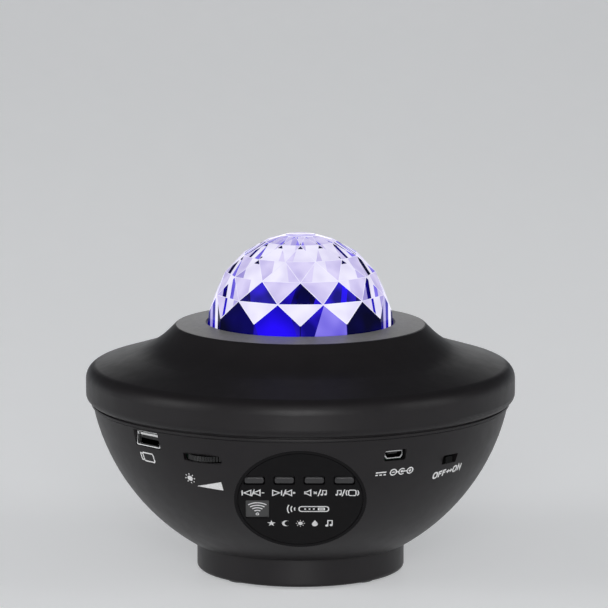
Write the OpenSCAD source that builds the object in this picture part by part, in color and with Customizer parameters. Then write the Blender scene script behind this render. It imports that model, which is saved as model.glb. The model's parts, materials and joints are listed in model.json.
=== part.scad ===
// Star night light projector. A bowl housing stands on a speaker pedestal, a brimmed cover closes the bowl
// and a clear faceted dome stands in the cover's collar. Under the dome a motor turns a ripple lens over
// the lamps and a star grating over a laser. Sizes are in millimetres. The origin is on the table under
// the axis, +Z is up and the control panel faces -Y. An azimuth is measured from -Y towards +X.

/* [Bowl] */
// Radius of the bowl's outer sphere
bowl_r = 81.6; // [80:0.2:84]
// Wall of the bowl
bowl_wall = 2.5; // [2:0.1:3]
// Radius of the bowl where it stands on the pedestal
bowl_foot_r = 42.2; // [41:0.2:44]
// Height of the bowl from its underside to its rim
bowl_h = 54.1; // [53:0.1:56]
// Thickness of the bowl's floor
floor_t = 2.5; // [2:0.1:3.5]
// Height of the bead round the rim
bead_h = 1.1; // [0.8:0.1:1.6]
// How far the bead stands out of the bowl
bead_proud = 0.6; // [0.3:0.1:1]
// Height of the tongue that centres the cover
tongue_h = 2.6; // [2:0.1:3.5]
// Wall of that tongue
tongue_t = 2; // [1.5:0.1:2.5]

/* [Pedestal] */
// Height of the pedestal
pedestal_h = 11; // [10:0.5:14]
// How far the pedestal's wall lies inside the bowl's foot
pedestal_step = 2.2; // [1.5:0.1:3]
// Wall of the pedestal
pedestal_wall = 2.4; // [2:0.1:3]
// Thickness of the pedestal's floor
pedestal_floor = 2.2; // [1.8:0.1:2.6]
// Radius of a rubber foot
foot_r = 5.5; // [4:0.25:6]
// Thickness of a rubber foot
foot_t = 2; // [1.6:0.1:2.6]
// How deep a foot sits in its pocket
foot_pocket = 1; // [0.6:0.1:1.2]
// How far the grille's edge lies inside the speaker's flange
grille_inset = 4.5; // [3.5:0.5:6]
// Width of a grille slot
slot_w = 1.8; // [1.2:0.1:2.2]

/* [Cover] */
// Wall of the cover
cover_wall = 2.5; // [2:0.1:2.8]
// Height from the cover's skirt to the outer edge of its collar
cover_h = 29.4; // [29:0.2:32]
// How far the brim stands out past the bead
brim_overhang = 2.1; // [1.6:0.1:3]
// Slope of the brim
brim_slope = 17; // [15:0.5:18]
// Radius of the collar's outer edge
collar_r = 48; // [47:0.5:49]
// Radius where the collar's wall meets the brim
collar_foot_r = 56.5; // [56:0.5:58]
// How much higher the collar is at the dome than at its edge
collar_rise = 1; // [0.5:0.1:1.5]
// Thickness of the collar at the dome
collar_t = 2.6; // [2:0.1:3]
// Rounding of the brim's shoulder
shoulder_round = 5.5; // [4:0.5:6]
// Rounding under the brim
skirt_round = 3.2; // [2:0.1:3.5]
// Hollow rounding between the collar and the brim
collar_fillet = 29; // [24:1:32]
// Gap of the seam between bowl and cover
seam_gap = 0.3; // [0.2:0.05:0.5]

/* [Dome] */
// Radius of the sphere that the facets' corners lie on
dome_r = 35.5; // [34:0.25:36]
// Facets in a row round the dome
dome_facets = 12; // [10:2:14]
// Radius of the dome's smooth inside
dome_inner_r = 32.2; // [31:0.1:32.4]
// How far the centre of the dome lies under the top of the collar
dome_sink = 1.5; // [1:0.1:2]
// Radius of the dome's flange
dome_flange_r = 44; // [42:0.5:44.5]
// Thickness of the flange
flange_t = 1.4; // [1.2:0.1:1.8]

/* [Projector] */
// Gear module
gear_module = 0.8; // [0.75:0.01:0.82]
// Teeth of the ripple gear
ripple_teeth = 44; // [42:1:46]
// Teeth of the motor pinion
pinion_teeth = 14; // [13:1:16]
// Teeth of the grating gear
grating_teeth = 18; // [17:1:20]
// Face width of the gears
gear_t = 3; // [2.5:0.1:3.2]
// Play between two meshing teeth
backlash = 0.16; // [0.1:0.02:0.24]
// Thickness of the chassis plate
plate_t = 2.6; // [2.2:0.1:3]
// Radius of the chassis plate
plate_r = 56.5; // [55:0.5:57.5]
// Height of the posts that carry the deck over the chassis
column_h = 8.8; // [8.6:0.1:10]
// Thickness of the reflecting deck
deck_t = 1.4; // [1:0.1:1.8]
// Radius of the deck
deck_r = 43; // [42:0.5:44]
// Radius of the LED board
led_board_r = 13.2; // [12.8:0.1:13.4]
// Thickness of the LED board
led_board_t = 1.6; // [1.2:0.1:2]
// Wall of the lamp boss that the ripple gear turns on
boss_wall = 1.3; // [1.2:0.05:1.4]
// Outer radius of the ripple lens
lens_r = 16.4; // [16.2:0.1:16.6]
// Height of the ripple lens
lens_h = 17; // [15:0.5:18]
// Wall of the ripple lens
lens_wall = 1.4; // [1.1:0.1:1.8]
// Radius of the motor
motor_r = 10; // [9:0.25:10.5]
// Height of the motor
motor_h = 18; // [16:0.5:20]
// Radius of the motor's shaft
shaft_r = 1.5; // [1.2:0.1:1.75]
// Radius of the laser's barrel
laser_r = 6; // [5.5:0.1:6.5]
// Length of the laser's barrel
laser_h = 20; // [16:1:24]
// Radius of the laser's nose, which the grating gear turns on
nose_r = 4.5; // [4.2:0.05:4.6]
// Radius of the heat sink
sink_r = 12; // [11:0.25:12.5]
// Height of the heat sink's fins
fin_h = 11.5; // [9:0.5:13]

/* [Control panel] */
// Radius of the flat panel
panel_r = 24.8; // [24.4:0.1:25.6]
// How far the panel faces down
panel_tilt = 32; // [31:0.5:33]
// Radius of the faceplate in the panel
faceplate_r = 23.3; // [23.2:0.1:23.7]
// Thickness of the faceplate
faceplate_t = 1.2; // [1:0.1:1.4]
// How far the faceplate lies under the panel's edge
faceplate_sink = 0.3; // [0.2:0.05:0.5]
// Wall behind the faceplate
backing_t = 1.6; // [1.4:0.1:2]
// Length of a button
button_l = 7.4; // [6.8:0.1:8]
// Width of a button
button_w = 3.9; // [3.6:0.1:4.2]
// Distance from one button to the next
button_pitch = 11.1; // [10.6:0.1:11.4]
// Height of the row of buttons over the panel's centre
button_row = 9.3; // [9:0.1:10]
// How far a button stands over the faceplate
button_proud = 0.9; // [0.8:0.05:1.2]
// How far a button goes in
button_travel = 0.6; // [0.4:0.05:0.7]
// Width of the receiver window
window_w = 8.6; // [8:0.1:9]
// Height of the receiver window
window_h = 9; // [8.4:0.1:9.4]

/* [Sockets and controls in the bowl] */
// Azimuth of the USB-A socket
usb_az = -46.8; // [-48:0.2:-46]
// Azimuth of the brightness wheel
wheel_az = -28; // [-28.5:0.25:-27.5]
// Azimuth of the micro-USB inlet
inlet_az = 26.8; // [26.4:0.2:27.4]
// Azimuth of the power switch
switch_az = 47; // [46:0.5:49]
// Radius of the brightness wheel
wheel_r = 9; // [8.8:0.1:9.4]
// Thickness of the brightness wheel
wheel_t = 2.6; // [2.2:0.1:2.8]
// How far the wheel stands out of the bowl
wheel_proud = 1.4; // [1.1:0.1:1.6]
// Width of the switch knob
knob_w = 3.8; // [3.4:0.1:4.2]
// Height of the switch knob
knob_h = 2.6; // [2.2:0.1:2.8]
// Travel of the switch knob
knob_travel = 3.2; // [2.6:0.1:3.4]
// Thickness of the circuit boards
board_t = 1.6; // [1.2:0.1:1.8]
// Height from the bowl's rim down to the underside of the main board
board_drop = 11.1; // [10.8:0.1:11.4]
// Gap between the main board's edge and the bowl's wall
board_clear = 2.1; // [1.6:0.1:2.6]
// Width of the main board from its outer to its inner edge
board_w = 28.3; // [27:0.1:29]

/* [Speaker] */
// Gap between the speaker's flange and the bosses that hold the bowl
speaker_clear = 2.3; // [2:0.1:3]
// Height of the speaker's basket over its flange
basket_h = 8.5; // [7.5:0.25:9.5]
// Radius of the speaker's magnet
magnet_r = 14; // [12.5:0.25:15]
// Height of the magnet
magnet_h = 6; // [5:0.25:7]
// How far the cone moves each way
cone_travel = 0.4; // [0.3:0.05:0.5]

/* [Fits] */
// Gap between parts that pass each other
gap = 0.3; // [0.25:0.05:0.4]
// Gap round a turning part on its journal
journal_gap = 0.15; // [0.1:0.01:0.2]
// Gap round a fixed part in its seat
seat_gap = 0.1; // [0.05:0.05:0.15]
// Gap round a screw in its pilot hole
pilot_gap = 0.05; // [0.03:0.01:0.08]
// Gap round a screw that passes through a part
pass_gap = 0.2; // [0.15:0.05:0.3]

/* [Hidden] */
$fn = 72;

eps = 0.01;
dark = "#37373a";
black = "#1d1c1f";
steel = "#c9ccd0";
board_green = "#1f6b4a";

// Pedestal and bowl
foot_proud = foot_t - foot_pocket;
floor_z = foot_proud + pedestal_h;
rim_z = floor_z + bowl_h;
bead_z = rim_z - bead_h;
bowl_cz = floor_z + sqrt(pow(bowl_r, 2) - pow(bowl_foot_r, 2));
pedestal_r = bowl_foot_r - pedestal_step;
pedestal_floor_z = foot_proud + pedestal_floor;
bead_r = bowl_at(bead_z) + bead_proud;
brim_r = bead_r + brim_overhang;
tongue_r = brim_r - cover_wall - gap;
bead_groove = 0.35;
bead_groove_deep = 0.5;

// Cover
skirt_z = rim_z + seam_gap;
collar_z = skirt_z + cover_h;
collar_top_z = collar_z + collar_rise;
collar_wall_slope = 45;
collar_foot_z = collar_z - (collar_foot_r - collar_r) * tan(collar_wall_slope);
collar_wall_l = (collar_foot_r - collar_r) / cos(collar_wall_slope);
collar_round_share = 0.65;
collar_turn = collar_wall_slope - brim_slope;
collar_round = min(collar_fillet, collar_round_share * collar_wall_l / tan(collar_turn / 2));

// Stack under the collar: flange, deck, chassis plate
flange_top_z = collar_top_z - collar_t;
flange_z = flange_top_z - flange_t;
deck_z = flange_z - deck_t;
plate_top_z = deck_z - column_h;
plate_z = plate_top_z - plate_t;
column_ring_r = 39.5;
column_r = 3;

// Dome: elevation of each ring of corners on its sphere, from the lowest up
dome_rings = [8.5, 21.4, 35.8, 51.2, 67, 79.8];
dome_cz = collar_top_z - dome_sink;
dome_base_r = dome_base_mid() / cos(180 / dome_facets);
dome_hole_r = dome_base_r + 0.2;

// Gears
pressure = 25;
shoulder_h = 2.1;
shoulder_w = 1.5;
gear_z = plate_top_z + shoulder_h + gap;
gear_top_z = gear_z + gear_t;
boss_in_r = led_board_r + gap;
boss_r = boss_in_r + boss_wall;
motor_dir = 90;
laser_dir = 180;
motor_dist = (ripple_teeth + pinion_teeth) * gear_module / 2;
laser_dist = (ripple_teeth + grating_teeth) * gear_module / 2;
pinion_phase = mesh_phase(motor_dir, ripple_teeth, pinion_teeth);
grating_phase = mesh_phase(laser_dir, ripple_teeth, grating_teeth);
ledge = 0.8;
grating_seat_r = nose_r + journal_gap + ledge;
grating_rim = 0.9;
grating_disc_t = 0.9;
nose_top_z = gear_top_z + 0.8;
grating_seat_z = nose_top_z + gap;
grating_top_z = grating_seat_z + grating_disc_t + 0.5;

// Lamps
led_top_z = plate_top_z + led_board_t;
led_w = 3.5;
led_h = 1;
led_ring_r = 4.2;
collimator_z = led_top_z + 2.4;
collimator_edge_gap = 0.4;
collimator_edge_t = 1.4;
collimator_t = 3.4;
collimator_round = 6;
lamp_cup = [2.4, 1.4, 1.6];
lamp_cup_z = -0.5;
collimator_leg_r = 0.8;
board_notch = 3;

// Screws: head radius, head height, shank radius
big_screw = [2.8, 1.9, 1.5];
small_screw = [2, 1.3, 1];
tiny_screw = [1.5, 0.9, 0.75];

// Posts and bosses; the pedestal's bosses stand just inside the spigot under the bowl
spigot_t = 1.8;
spigot_h = 2.5;
pedestal_boss_r = 3.7;
pedestal_boss_h = 8;
boss_clear = 0.5;
post_ring_r = pedestal_r - pedestal_wall - seat_gap - spigot_t - boss_clear - pedestal_boss_r;
post_r = 4.4;
post_web = 3;
foot_boss_r = foot_r + 1.2;
foot_boss_h = pedestal_floor + 0.6;
chassis_boss_h = 4;
post_top_z = plate_z - chassis_boss_h;
head_gap = 0.3;
housing_screw_l = 8;
pedestal_screw_l = 8;
pedestal_head_z = floor_z - 3;
cover_boss_r = 3.6;
cover_boss_clear = 2.9;
chassis_screw_ring_r = dome_flange_r + cover_boss_clear + cover_boss_r;
chassis_screw_l = 7.4;
wire_slot_ring_r = plate_r - 8.5;
wire_slot = [14, 5];

// Motor, and the screws and holes that the boards and the heat sink share
motor_ear = 13.4;
motor_ear_r = 2.6;
motor_ear_t = 0.8;
motor_boss_r = shaft_r + 2;
tiny_bite = 3;
led_screw_ring_r = 8.6;
sink_base_t = 2.4;
sink_boss_r = sink_r - 0.9;

// Panel: heights along its own axis, from the centre of the bowl's sphere
panel_d = sqrt(pow(bowl_r, 2) - pow(panel_r, 2));
plate_face_d = panel_d - faceplate_sink;
recess_d = plate_face_d - faceplate_t;
backing_d = recess_d - backing_t;
button_top_d = plate_face_d + button_proud;
button_flange_t = 1;
button_flange_d = backing_d - gap - button_flange_t;
switch_top_d = button_flange_d - button_travel - 0.9;
switch_h = 2.5;
button_board_d = switch_top_d - switch_h;
button_board_r = faceplate_r + gap;
button_board_top = 16.5;
button_bevel = 0.4;
button_lip = 0.7;
switch_side = 6;
switch_stem_r = 1.2;
receiver_h = 3;
receiver_lens_r = 2;
stem_in = 0.5;
row_shift = -0.4;
button_xs = [for (i = [-1.5 : 1 : 1.5]) i * button_pitch + row_shift];
window_x = -16;
window_y = -5.1;
button_post_ring_r = 20.4;
button_post_spots = [[row_shift, 14.4], polar(button_post_ring_r, 235), polar(button_post_ring_r, 305)];
button_post_r = 2.3;

// Main board and what it carries
board_z = rim_z - board_drop;
board_top_z = board_z + board_t;
board_r = bowl_at(board_z, bowl_wall) - board_clear;
board_in_r = board_r - board_w;
board_half_angle = 62;
board_front_cut = 14.8;
board_front_right = panel_r + 3.2;
board_post_r = 3;
board_post_in = 10.3;
board_screw_bite = 5;
board_screw_l = board_t + board_screw_bite;
board_posts = [for (s = [-1, 1])
  each [[board_in_r + 2 * board_post_r, 38 * s], [board_r - board_post_in, 58 * s]]];
wheel_axis_r = bowl_at(board_z + wheel_t / 2) + wheel_proud - wheel_r;
board_front_left = wheel_axis_r * sin(wheel_az);
wheel_z = board_z + gap;
wheel_wall_gap = bowl_at(wheel_z, bowl_wall) - wheel_axis_r;
wheel_slot_gap = 0.5;
wheel_slot_w = 2 * (sqrt(pow(wheel_r, 2) - pow(wheel_wall_gap, 2)) + wheel_slot_gap);
wheel_hole_r = wheel_r + 2 * gap;
wheel_pin_r = 1.5;
wheel_arm_w = wheel_r;
wheel_arm_t = 1.8;
wheel_arm_end = 2.6;
wheel_arm_l = wheel_arm_end + wheel_hole_r + 5.3;
usb_base_t = 1.5;
usb_w = 13.1;
usb_h = 5.7;
usb_l = 14;
usb_z = board_top_z + usb_base_t;
usb_mouth_r = bowl_at(usb_z + usb_h / 2) - 1.2;
usb_tongue = [11.2, 1.9];
usb_tongue_in = 1.2;
usb_tongue_up = 2.3;
shell_t = 0.35;
inlet_w = 7.6;
inlet_h = 2.9;
inlet_l = 5.8;
inlet_mouth_r = bowl_at(board_top_z + inlet_h / 2) - 1.8;
inlet_rim = 0.7;
inlet_tongue = [3.8, 0.6];
inlet_tongue_in = 0.8;
switch_w = 8.6;
switch_body_h = 3.6;
switch_l = 3.8;
switch_front_r = board_r - 0.2;
knob_stem_w = 2.4;
knob_stem_h = 1.8;
knob_stem_in = 2;
knob_z = board_z - switch_body_h / 2;
knob_proud = 0.9;
knob_slot_gap = 0.45;

// On the main board: azimuth, distance from the board's inner edge to the middle, and size
chips = [[10, 6.5, [7, 7, 1.4]], [-10, 7, [8, 5, 1.2]], [52, 11, [8, 6, 1.4]]];
capacitors = [[-20, 6, 2.5, 6], [22, 6, 3, 7]];

// Speaker, which faces down on a seat of the pedestal's floor
seat_h = 2.2;
gasket_t = 0.6;
speaker_r = post_ring_r - pedestal_boss_r - speaker_clear;
speaker_z = pedestal_floor_z + seat_h + gasket_t;
seat_wall = 2.2;
ear_r = 2.6;
ear_ring_r = speaker_r + ear_r + 0.2;
ear_az = 22.5;
basket_t = 0.8;
surround_r = speaker_r - 2;
surround_in_r = surround_r - 4;
coil_r = 6;
magnet_web = 1.5;
floor_hole_r = speaker_r - 2;
window_rib = 1.8;
window_in = 2.2;
window_out = 1.2;

// ---- Functions

function bowl_at(z, inset = 0) = sqrt(pow(bowl_r - inset, 2) - pow(bowl_cz - z, 2));
function polar(r, a) = [r * cos(a), r * sin(a)];
function unit(v) = v / norm(v);

// Outline corners are [x, y] or [x, y, rounding]
function spot(p, i) = [p[i][0], p[i][1]];
function before(p, i) = spot(p, (i + len(p) - 1) % len(p));
function after(p, i) = spot(p, (i + 1) % len(p));
function round_of(p, i) = len(p[i]) > 2 ? p[i][2] : 0;
function back_way(p, i) = unit(before(p, i) - spot(p, i));
function on_way(p, i) = unit(after(p, i) - spot(p, i));
function half_corner(p, i) = acos(back_way(p, i) * on_way(p, i)) / 2;
function cut_back(p, i) = round_of(p, i) / tan(half_corner(p, i));
function tangents(p, i) =
  [spot(p, i) + cut_back(p, i) * back_way(p, i), spot(p, i) + cut_back(p, i) * on_way(p, i)];
function round_centre(p, i) =
  spot(p, i) + unit(back_way(p, i) + on_way(p, i)) * round_of(p, i) / sin(half_corner(p, i));
function turns_left(p, i) = cross(spot(p, i) - before(p, i), after(p, i) - spot(p, i)) > 0;
function rectangle(w, h, r = 0) =
  [[-w / 2, -h / 2, r], [w / 2, -h / 2, r], [w / 2, h / 2, r], [-w / 2, h / 2, r]];

// Involute gear teeth
function involute(a) = tan(a) * 180 / PI - a;
function pitch_r(teeth) = teeth * gear_module / 2;
function base_r(teeth) = pitch_r(teeth) * cos(pressure);
function tip_r(teeth) = pitch_r(teeth) + gear_module;
function root_r(teeth) = pitch_r(teeth) - 1.25 * gear_module;
function half_tooth(teeth, r) =
  90 / teeth - backlash * 45 / (PI * pitch_r(teeth)) + involute(pressure)
  - involute(acos(base_r(teeth) / max(r, base_r(teeth))));
function flank(teeth) =
  let (foot = max(root_r(teeth), base_r(teeth)))
  [root_r(teeth), foot, (foot + tip_r(teeth)) / 2, tip_r(teeth)];
function mesh_phase(direction, first, second) =
  direction + 180 + direction * first / second + 180 / second;

// Dome facets
function ring_r(k) = dome_r * cos(dome_rings[k]);
function ring_z(k) = dome_cz + dome_r * sin(dome_rings[k]);
function dome_base_mid() =
  let (mid = ring_r(0) * cos(180 / dome_facets))
  mid + (mid - ring_r(1)) / (ring_z(1) - ring_z(0)) * (ring_z(0) - flange_top_z);
function dome_ring(r, z, half) =
  [for (i = [0 : dome_facets - 1]) concat(polar(r, (i + half) * 360 / dome_facets), z)];

// The cover's corners, moved in by a distance d from its outer face
function brim_at(r, d) = collar_foot_z - (r - collar_foot_r) * tan(brim_slope) - d / cos(brim_slope);
function collar_wall_at(z, d) =
  collar_r + (collar_z - d / cos(collar_wall_slope) - z) / tan(collar_wall_slope);
function collar_foot_in(d) =
  let (lean = tan(collar_wall_slope) - tan(brim_slope))
  collar_foot_r + d * (1 / cos(brim_slope) - 1 / cos(collar_wall_slope)) / lean;
function cover_outside(d) = [
  [brim_r - d, brim_at(brim_r - d, d), shoulder_round - d],
  [collar_foot_in(d), brim_at(collar_foot_in(d), d), collar_round + d],
];

// ---- Modules that repeat

module corner_round(p, i) {
  intersection() {
    translate(round_centre(p, i)) circle(round_of(p, i));
    polygon([tangents(p, i)[0], spot(p, i), tangents(p, i)[1]]);
  }
}

module round_corners(p, left) {
  for (i = [0 : len(p) - 1]) if (round_of(p, i) > 0 && turns_left(p, i) == left) corner_round(p, i);
}

// A closed outline, counter-clockwise, with true arcs at the corners that have a rounding
module outline(p) {
  difference() {
    union() {
      polygon([for (i = [0 : len(p) - 1]) each round_of(p, i) > 0 ? tangents(p, i) : [spot(p, i)]]);
      round_corners(p, true);
    }
    round_corners(p, false);
  }
}

module pill(l, w) {
  square([l - w, w], center = true);
  for (s = [-1, 1]) translate([s * (l - w) / 2, 0]) circle(w / 2);
}

module ring(out_r, in_r, h) {
  difference() {
    cylinder(r = out_r, h = h);
    translate([0, 0, -1]) cylinder(r = in_r, h = h + 2);
  }
}

// Copies round the axis, at a radius and a first azimuth
module round_axis(n, r, az) {
  for (i = [0 : n - 1]) rotate([0, 0, az + i * 360 / n]) translate([0, -r, 0]) children();
}

// Turns the -Y side to an azimuth
module facing(az) {
  rotate([0, 0, az]) children();
}

// A flat shape drawn on a wall that faces -Y: pushed out from one radius to another
module pushed_out(from_r, to_r, z) {
  translate([0, -from_r, z]) rotate([90, 0, 0]) linear_extrude(to_r - from_r) children();
}

// An upright rod or hole
module rod(r, from_z, to_z) {
  translate([0, 0, from_z]) cylinder(r = r, h = to_z - from_z);
}

// The panel's own frame: its centre line points out, Y is up along the panel
module on_panel() {
  translate([0, 0, bowl_cz]) rotate([90 + panel_tilt, 0, 0]) children();
}

// A pan-head screw, head up, with its shank from 0 down
module screw(size, l) {
  difference() {
    union() {
      rotate_extrude()
        outline([[0, 0], [size[0], 0], [size[0], size[1], size[1] * 0.6], [0, size[1]]]);
      translate([0, 0, -l]) cylinder(r = size[2], h = l + eps);
    }
    for (a = [0, 90]) rotate([0, 0, a]) translate([0, 0, size[1]])
      cube([size[0] * 1.1, size[0] * 0.26, size[1] * 0.9], center = true);
  }
}

module gear_outline(teeth, phase) {
  polygon([for (i = [0 : teeth - 1]) let (c = phase + i * 360 / teeth, f = flank(teeth)) each concat(
    [for (r = f) polar(r, c - half_tooth(teeth, r))],
    [for (k = [len(f) - 1 : -1 : 0]) polar(f[k], c + half_tooth(teeth, f[k]))]
  )]);
}

// ---- Housing

module bowl_section() {
  difference() {
    union() {
      intersection() {
        difference() {
          translate([0, bowl_cz]) circle(bowl_r);
          translate([0, bowl_cz]) circle(bowl_r - bowl_wall);
        }
        translate([0, floor_z]) square([bowl_r + 1, bead_z + 0.2 - floor_z]);
      }
      translate([floor_hole_r, floor_z]) square([bowl_foot_r - 0.8 - floor_hole_r, floor_t]);
      rim_section();
      spigot();
    }
    translate([bowl_at(bead_z) - bead_groove_deep, bead_z - bead_groove]) square([2, bead_groove]);
  }
}

// Bead, and the tongue that stands inside the cover's skirt
module rim_section() {
  outline([
    [tongue_r - tongue_t, bead_z], [bead_r, bead_z, 0.3], [bead_r, rim_z, 0.3], [tongue_r, rim_z],
    [tongue_r, rim_z + tongue_h, 0.5], [tongue_r - tongue_t, rim_z + tongue_h, 0.5],
  ]);
}

// Ring under the bowl that centres the pedestal
module spigot() {
  translate([pedestal_r - pedestal_wall - seat_gap - spigot_t, floor_z - spigot_h])
    square([spigot_t, spigot_h + eps]);
}

module panel_backing() {
  on_panel() {
    rod(panel_r, backing_d, panel_d);
    at_button_posts() rod(button_post_r, button_board_d, backing_d + eps);
  }
}

module at_button_posts() {
  for (spot = button_post_spots) translate(spot) children();
}

// The holes of the four buttons, through a plate between two depths
module button_holes(from_d, to_d) {
  for (x = button_xs) translate([x, button_row, from_d])
    linear_extrude(to_d - from_d) pill(button_l + 2 * gap, button_w + 2 * gap);
}

module panel_cuts() {
  on_panel() {
    rod(panel_r + 1, panel_d, bowl_r + 1);
    rod(faceplate_r + gap, recess_d, bowl_r + 1);
    button_holes(backing_d - 1, bowl_r);
    translate([window_x, window_y, backing_d - 1])
      linear_extrude(6) outline(rectangle(window_w - 2, window_h - 2.4, 1));
    at_button_posts() rod(tiny_screw[2] + pilot_gap, button_board_d - 1, button_board_d + tiny_bite + 0.5);
  }
}

// A rounded opening through the bowl's wall
module wall_cut(az, z, w, h, round) {
  facing(az) pushed_out(board_r, bowl_r + 1, z) outline(rectangle(w, h, round));
}

module wall_cuts() {
  wall_cut(usb_az, usb_z + usb_h / 2, usb_w + 2 * gap, usb_h + 2 * gap, 0.6);
  wall_cut(wheel_az, wheel_z + wheel_t / 2, wheel_slot_w, wheel_t + 2 * wheel_slot_gap, 0.5);
  wall_cut(inlet_az, board_top_z + inlet_h / 2, inlet_w + 2 * inlet_rim, inlet_h + 2 * inlet_rim, 0.9);
  wall_cut(switch_az, knob_z, knob_w + knob_travel + 2 * knob_slot_gap, knob_h + 2 * knob_slot_gap, 0.4);
}

module at_board_posts() {
  for (post = board_posts) facing(post[1]) translate([0, -post[0], 0]) children();
}

// The bowl's posts, hollow from below, that the chassis stands on, and the bosses over the pedestal
module bowl_posts() {
  round_axis(4, post_ring_r, 45) rod(post_r, floor_z, post_top_z);
  round_axis(4, post_ring_r, 0) rod(pedestal_boss_r, floor_z, floor_z + pedestal_boss_h);
}

module bowl_post_holes() {
  round_axis(4, post_ring_r, 45) {
    rod(big_screw[0] + head_gap, floor_z - 3, post_top_z - post_web);
    rod(big_screw[2] + pass_gap, floor_z, post_top_z + 1);
  }
  round_axis(4, post_ring_r, 0) rod(big_screw[2] + pilot_gap, floor_z - 1, floor_z + pedestal_boss_h - 1);
}

module bowl_housing() {
  color(dark) difference() {
    union() {
      rotate_extrude() bowl_section();
      panel_backing();
      bowl_posts();
      intersection() {
        at_board_posts() rod(board_post_r, floor_z, board_z);
        translate([0, 0, bowl_cz]) sphere(bowl_r - bowl_wall / 2);
      }
    }
    bowl_post_holes();
    at_board_posts() rod(small_screw[2] + pilot_gap, board_z - board_screw_l, board_z + 1);
    panel_cuts();
    wall_cuts();
  }
}

// What the cover's wall leaves inside it when the wall is d thick and its ceiling is at a height
module cover_inside(d, ceiling_z) {
  outline(concat(
    [[0, skirt_z - 5], [brim_r - d, skirt_z - 5]], cover_outside(d),
    [[collar_wall_at(ceiling_z, d), ceiling_z], [0, ceiling_z]]
  ));
}

module cover_section() {
  difference() {
    outline(concat(
      [[dome_hole_r, skirt_z], [brim_r, skirt_z, skirt_round]], cover_outside(0),
      [[collar_r, collar_z, 1], [dome_hole_r, collar_top_z, 0.5]]
    ));
    cover_inside(cover_wall, flange_top_z);
  }
}

module top_cover() {
  color(dark) difference() {
    union() {
      rotate_extrude() cover_section();
      intersection() {
        round_axis(4, chassis_screw_ring_r, 45) rod(cover_boss_r, plate_top_z, collar_top_z);
        rotate_extrude() cover_inside(cover_wall / 2, flange_top_z + collar_t / 2);
      }
    }
    round_axis(4, chassis_screw_ring_r, 45)
      rod(small_screw[2] + pilot_gap, plate_top_z - 1, plate_z + chassis_screw_l + 0.4);
  }
}

module pedestal_section() {
  difference() {
    outline([[0, foot_proud], [pedestal_r, foot_proud, 1.5], [pedestal_r, floor_z], [0, floor_z]]);
    outline([[-1, pedestal_floor_z], [pedestal_r - pedestal_wall, pedestal_floor_z, 1],
      [pedestal_r - pedestal_wall, floor_z + 1], [-1, floor_z + 1]]);
  }
}

module grille_cuts() {
  step = slot_w * 2.4;
  rings = floor((speaker_r - grille_inset) / step);
  cylinder(r = slot_w, h = pedestal_floor + 2);
  for (k = [1 : rings], i = [0 : 5]) rotate([0, 0, i * 60 + k * 30 + rib_angle(k * step) / 2])
    rotate_extrude(angle = 60 - rib_angle(k * step)) translate([k * step - slot_w / 2 + slot_w, 0])
      square([slot_w, pedestal_floor + 2]);
}

// Angle taken by a rib between two slots
function rib_angle(r) = 2 * asin(1.22 * slot_w / 2 / r);

module pedestal() {
  color(dark) difference() {
    union() {
      rotate_extrude() pedestal_section();
      round_axis(4, post_ring_r, 0) rod(pedestal_boss_r, foot_proud, floor_z);
      round_axis(4, post_ring_r, 45) rod(foot_boss_r, foot_proud, foot_proud + foot_boss_h);
      round_axis(4, ear_ring_r, ear_az) rod(ear_r, foot_proud, speaker_z);
      translate([0, 0, pedestal_floor_z - eps]) ring(speaker_r, speaker_r - seat_wall, seat_h + eps);
    }
    translate([0, 0, foot_proud - 1]) grille_cuts();
    round_axis(4, post_ring_r, 0) {
      rod(big_screw[0] + head_gap, foot_proud - 1, pedestal_head_z);
      rod(big_screw[2] + pass_gap, foot_proud - 1, floor_z + 1);
    }
    round_axis(4, post_ring_r, 45) rod(foot_r + seat_gap, foot_proud - 1, foot_proud + foot_pocket);
    round_axis(4, ear_ring_r, ear_az)
      rod(tiny_screw[2] + pilot_gap, speaker_z - tiny_bite - 0.4, speaker_z + 1);
  }
}

module rubber_feet() {
  color("#2a2a2c") round_axis(4, post_ring_r, 45) rotate_extrude()
    outline([[0, 0], [foot_r, 0, 0.6], [foot_r, foot_t], [0, foot_t]]);
}

module pedestal_screws() {
  color(steel) translate([0, 0, pedestal_head_z]) round_axis(4, post_ring_r, 0)
    mirror([0, 0, 1]) screw(big_screw, pedestal_screw_l);
}

module housing_screws() {
  color(steel) translate([0, 0, post_top_z - post_web]) round_axis(4, post_ring_r, 45)
    mirror([0, 0, 1]) screw(big_screw, housing_screw_l);
}

// ---- Dome

module facets() {
  n = dome_facets;
  rings = len(dome_rings);
  points = concat(
    dome_ring(dome_base_r, flange_top_z - 0.2, 0),
    [for (k = [0 : rings - 1]) each dome_ring(ring_r(k), ring_z(k), k % 2 / 2)]
  );
  houses = [for (i = [0 : n - 1]) let (j = (i + 1) % n) [i, n + i, 2 * n + i, n + j, j]];
  lowest_downs = [for (i = [0 : n - 1]) let (j = (i + 1) % n) [2 * n + i, 2 * n + j, n + j]];
  ups = [for (k = [2 : rings - 1], i = [0 : n - 1])
    let (j = (i + 1) % n, tip = k % 2 == 0 ? j : i)
    [k * n + i, (k + 1) * n + tip, k * n + j]];
  downs = [for (k = [2 : rings - 1], i = [0 : n - 1])
    let (j = (i + 1) % n, tip = k % 2 == 0 ? i : j)
    [(k + 1) * n + i, (k + 1) * n + j, k * n + tip]];
  bottom = [for (i = [0 : n - 1]) i];
  top = [for (i = [n - 1 : -1 : 0]) rings * n + i];
  polyhedron(points, concat([bottom, top], houses, lowest_downs, ups, downs));
}

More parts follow.
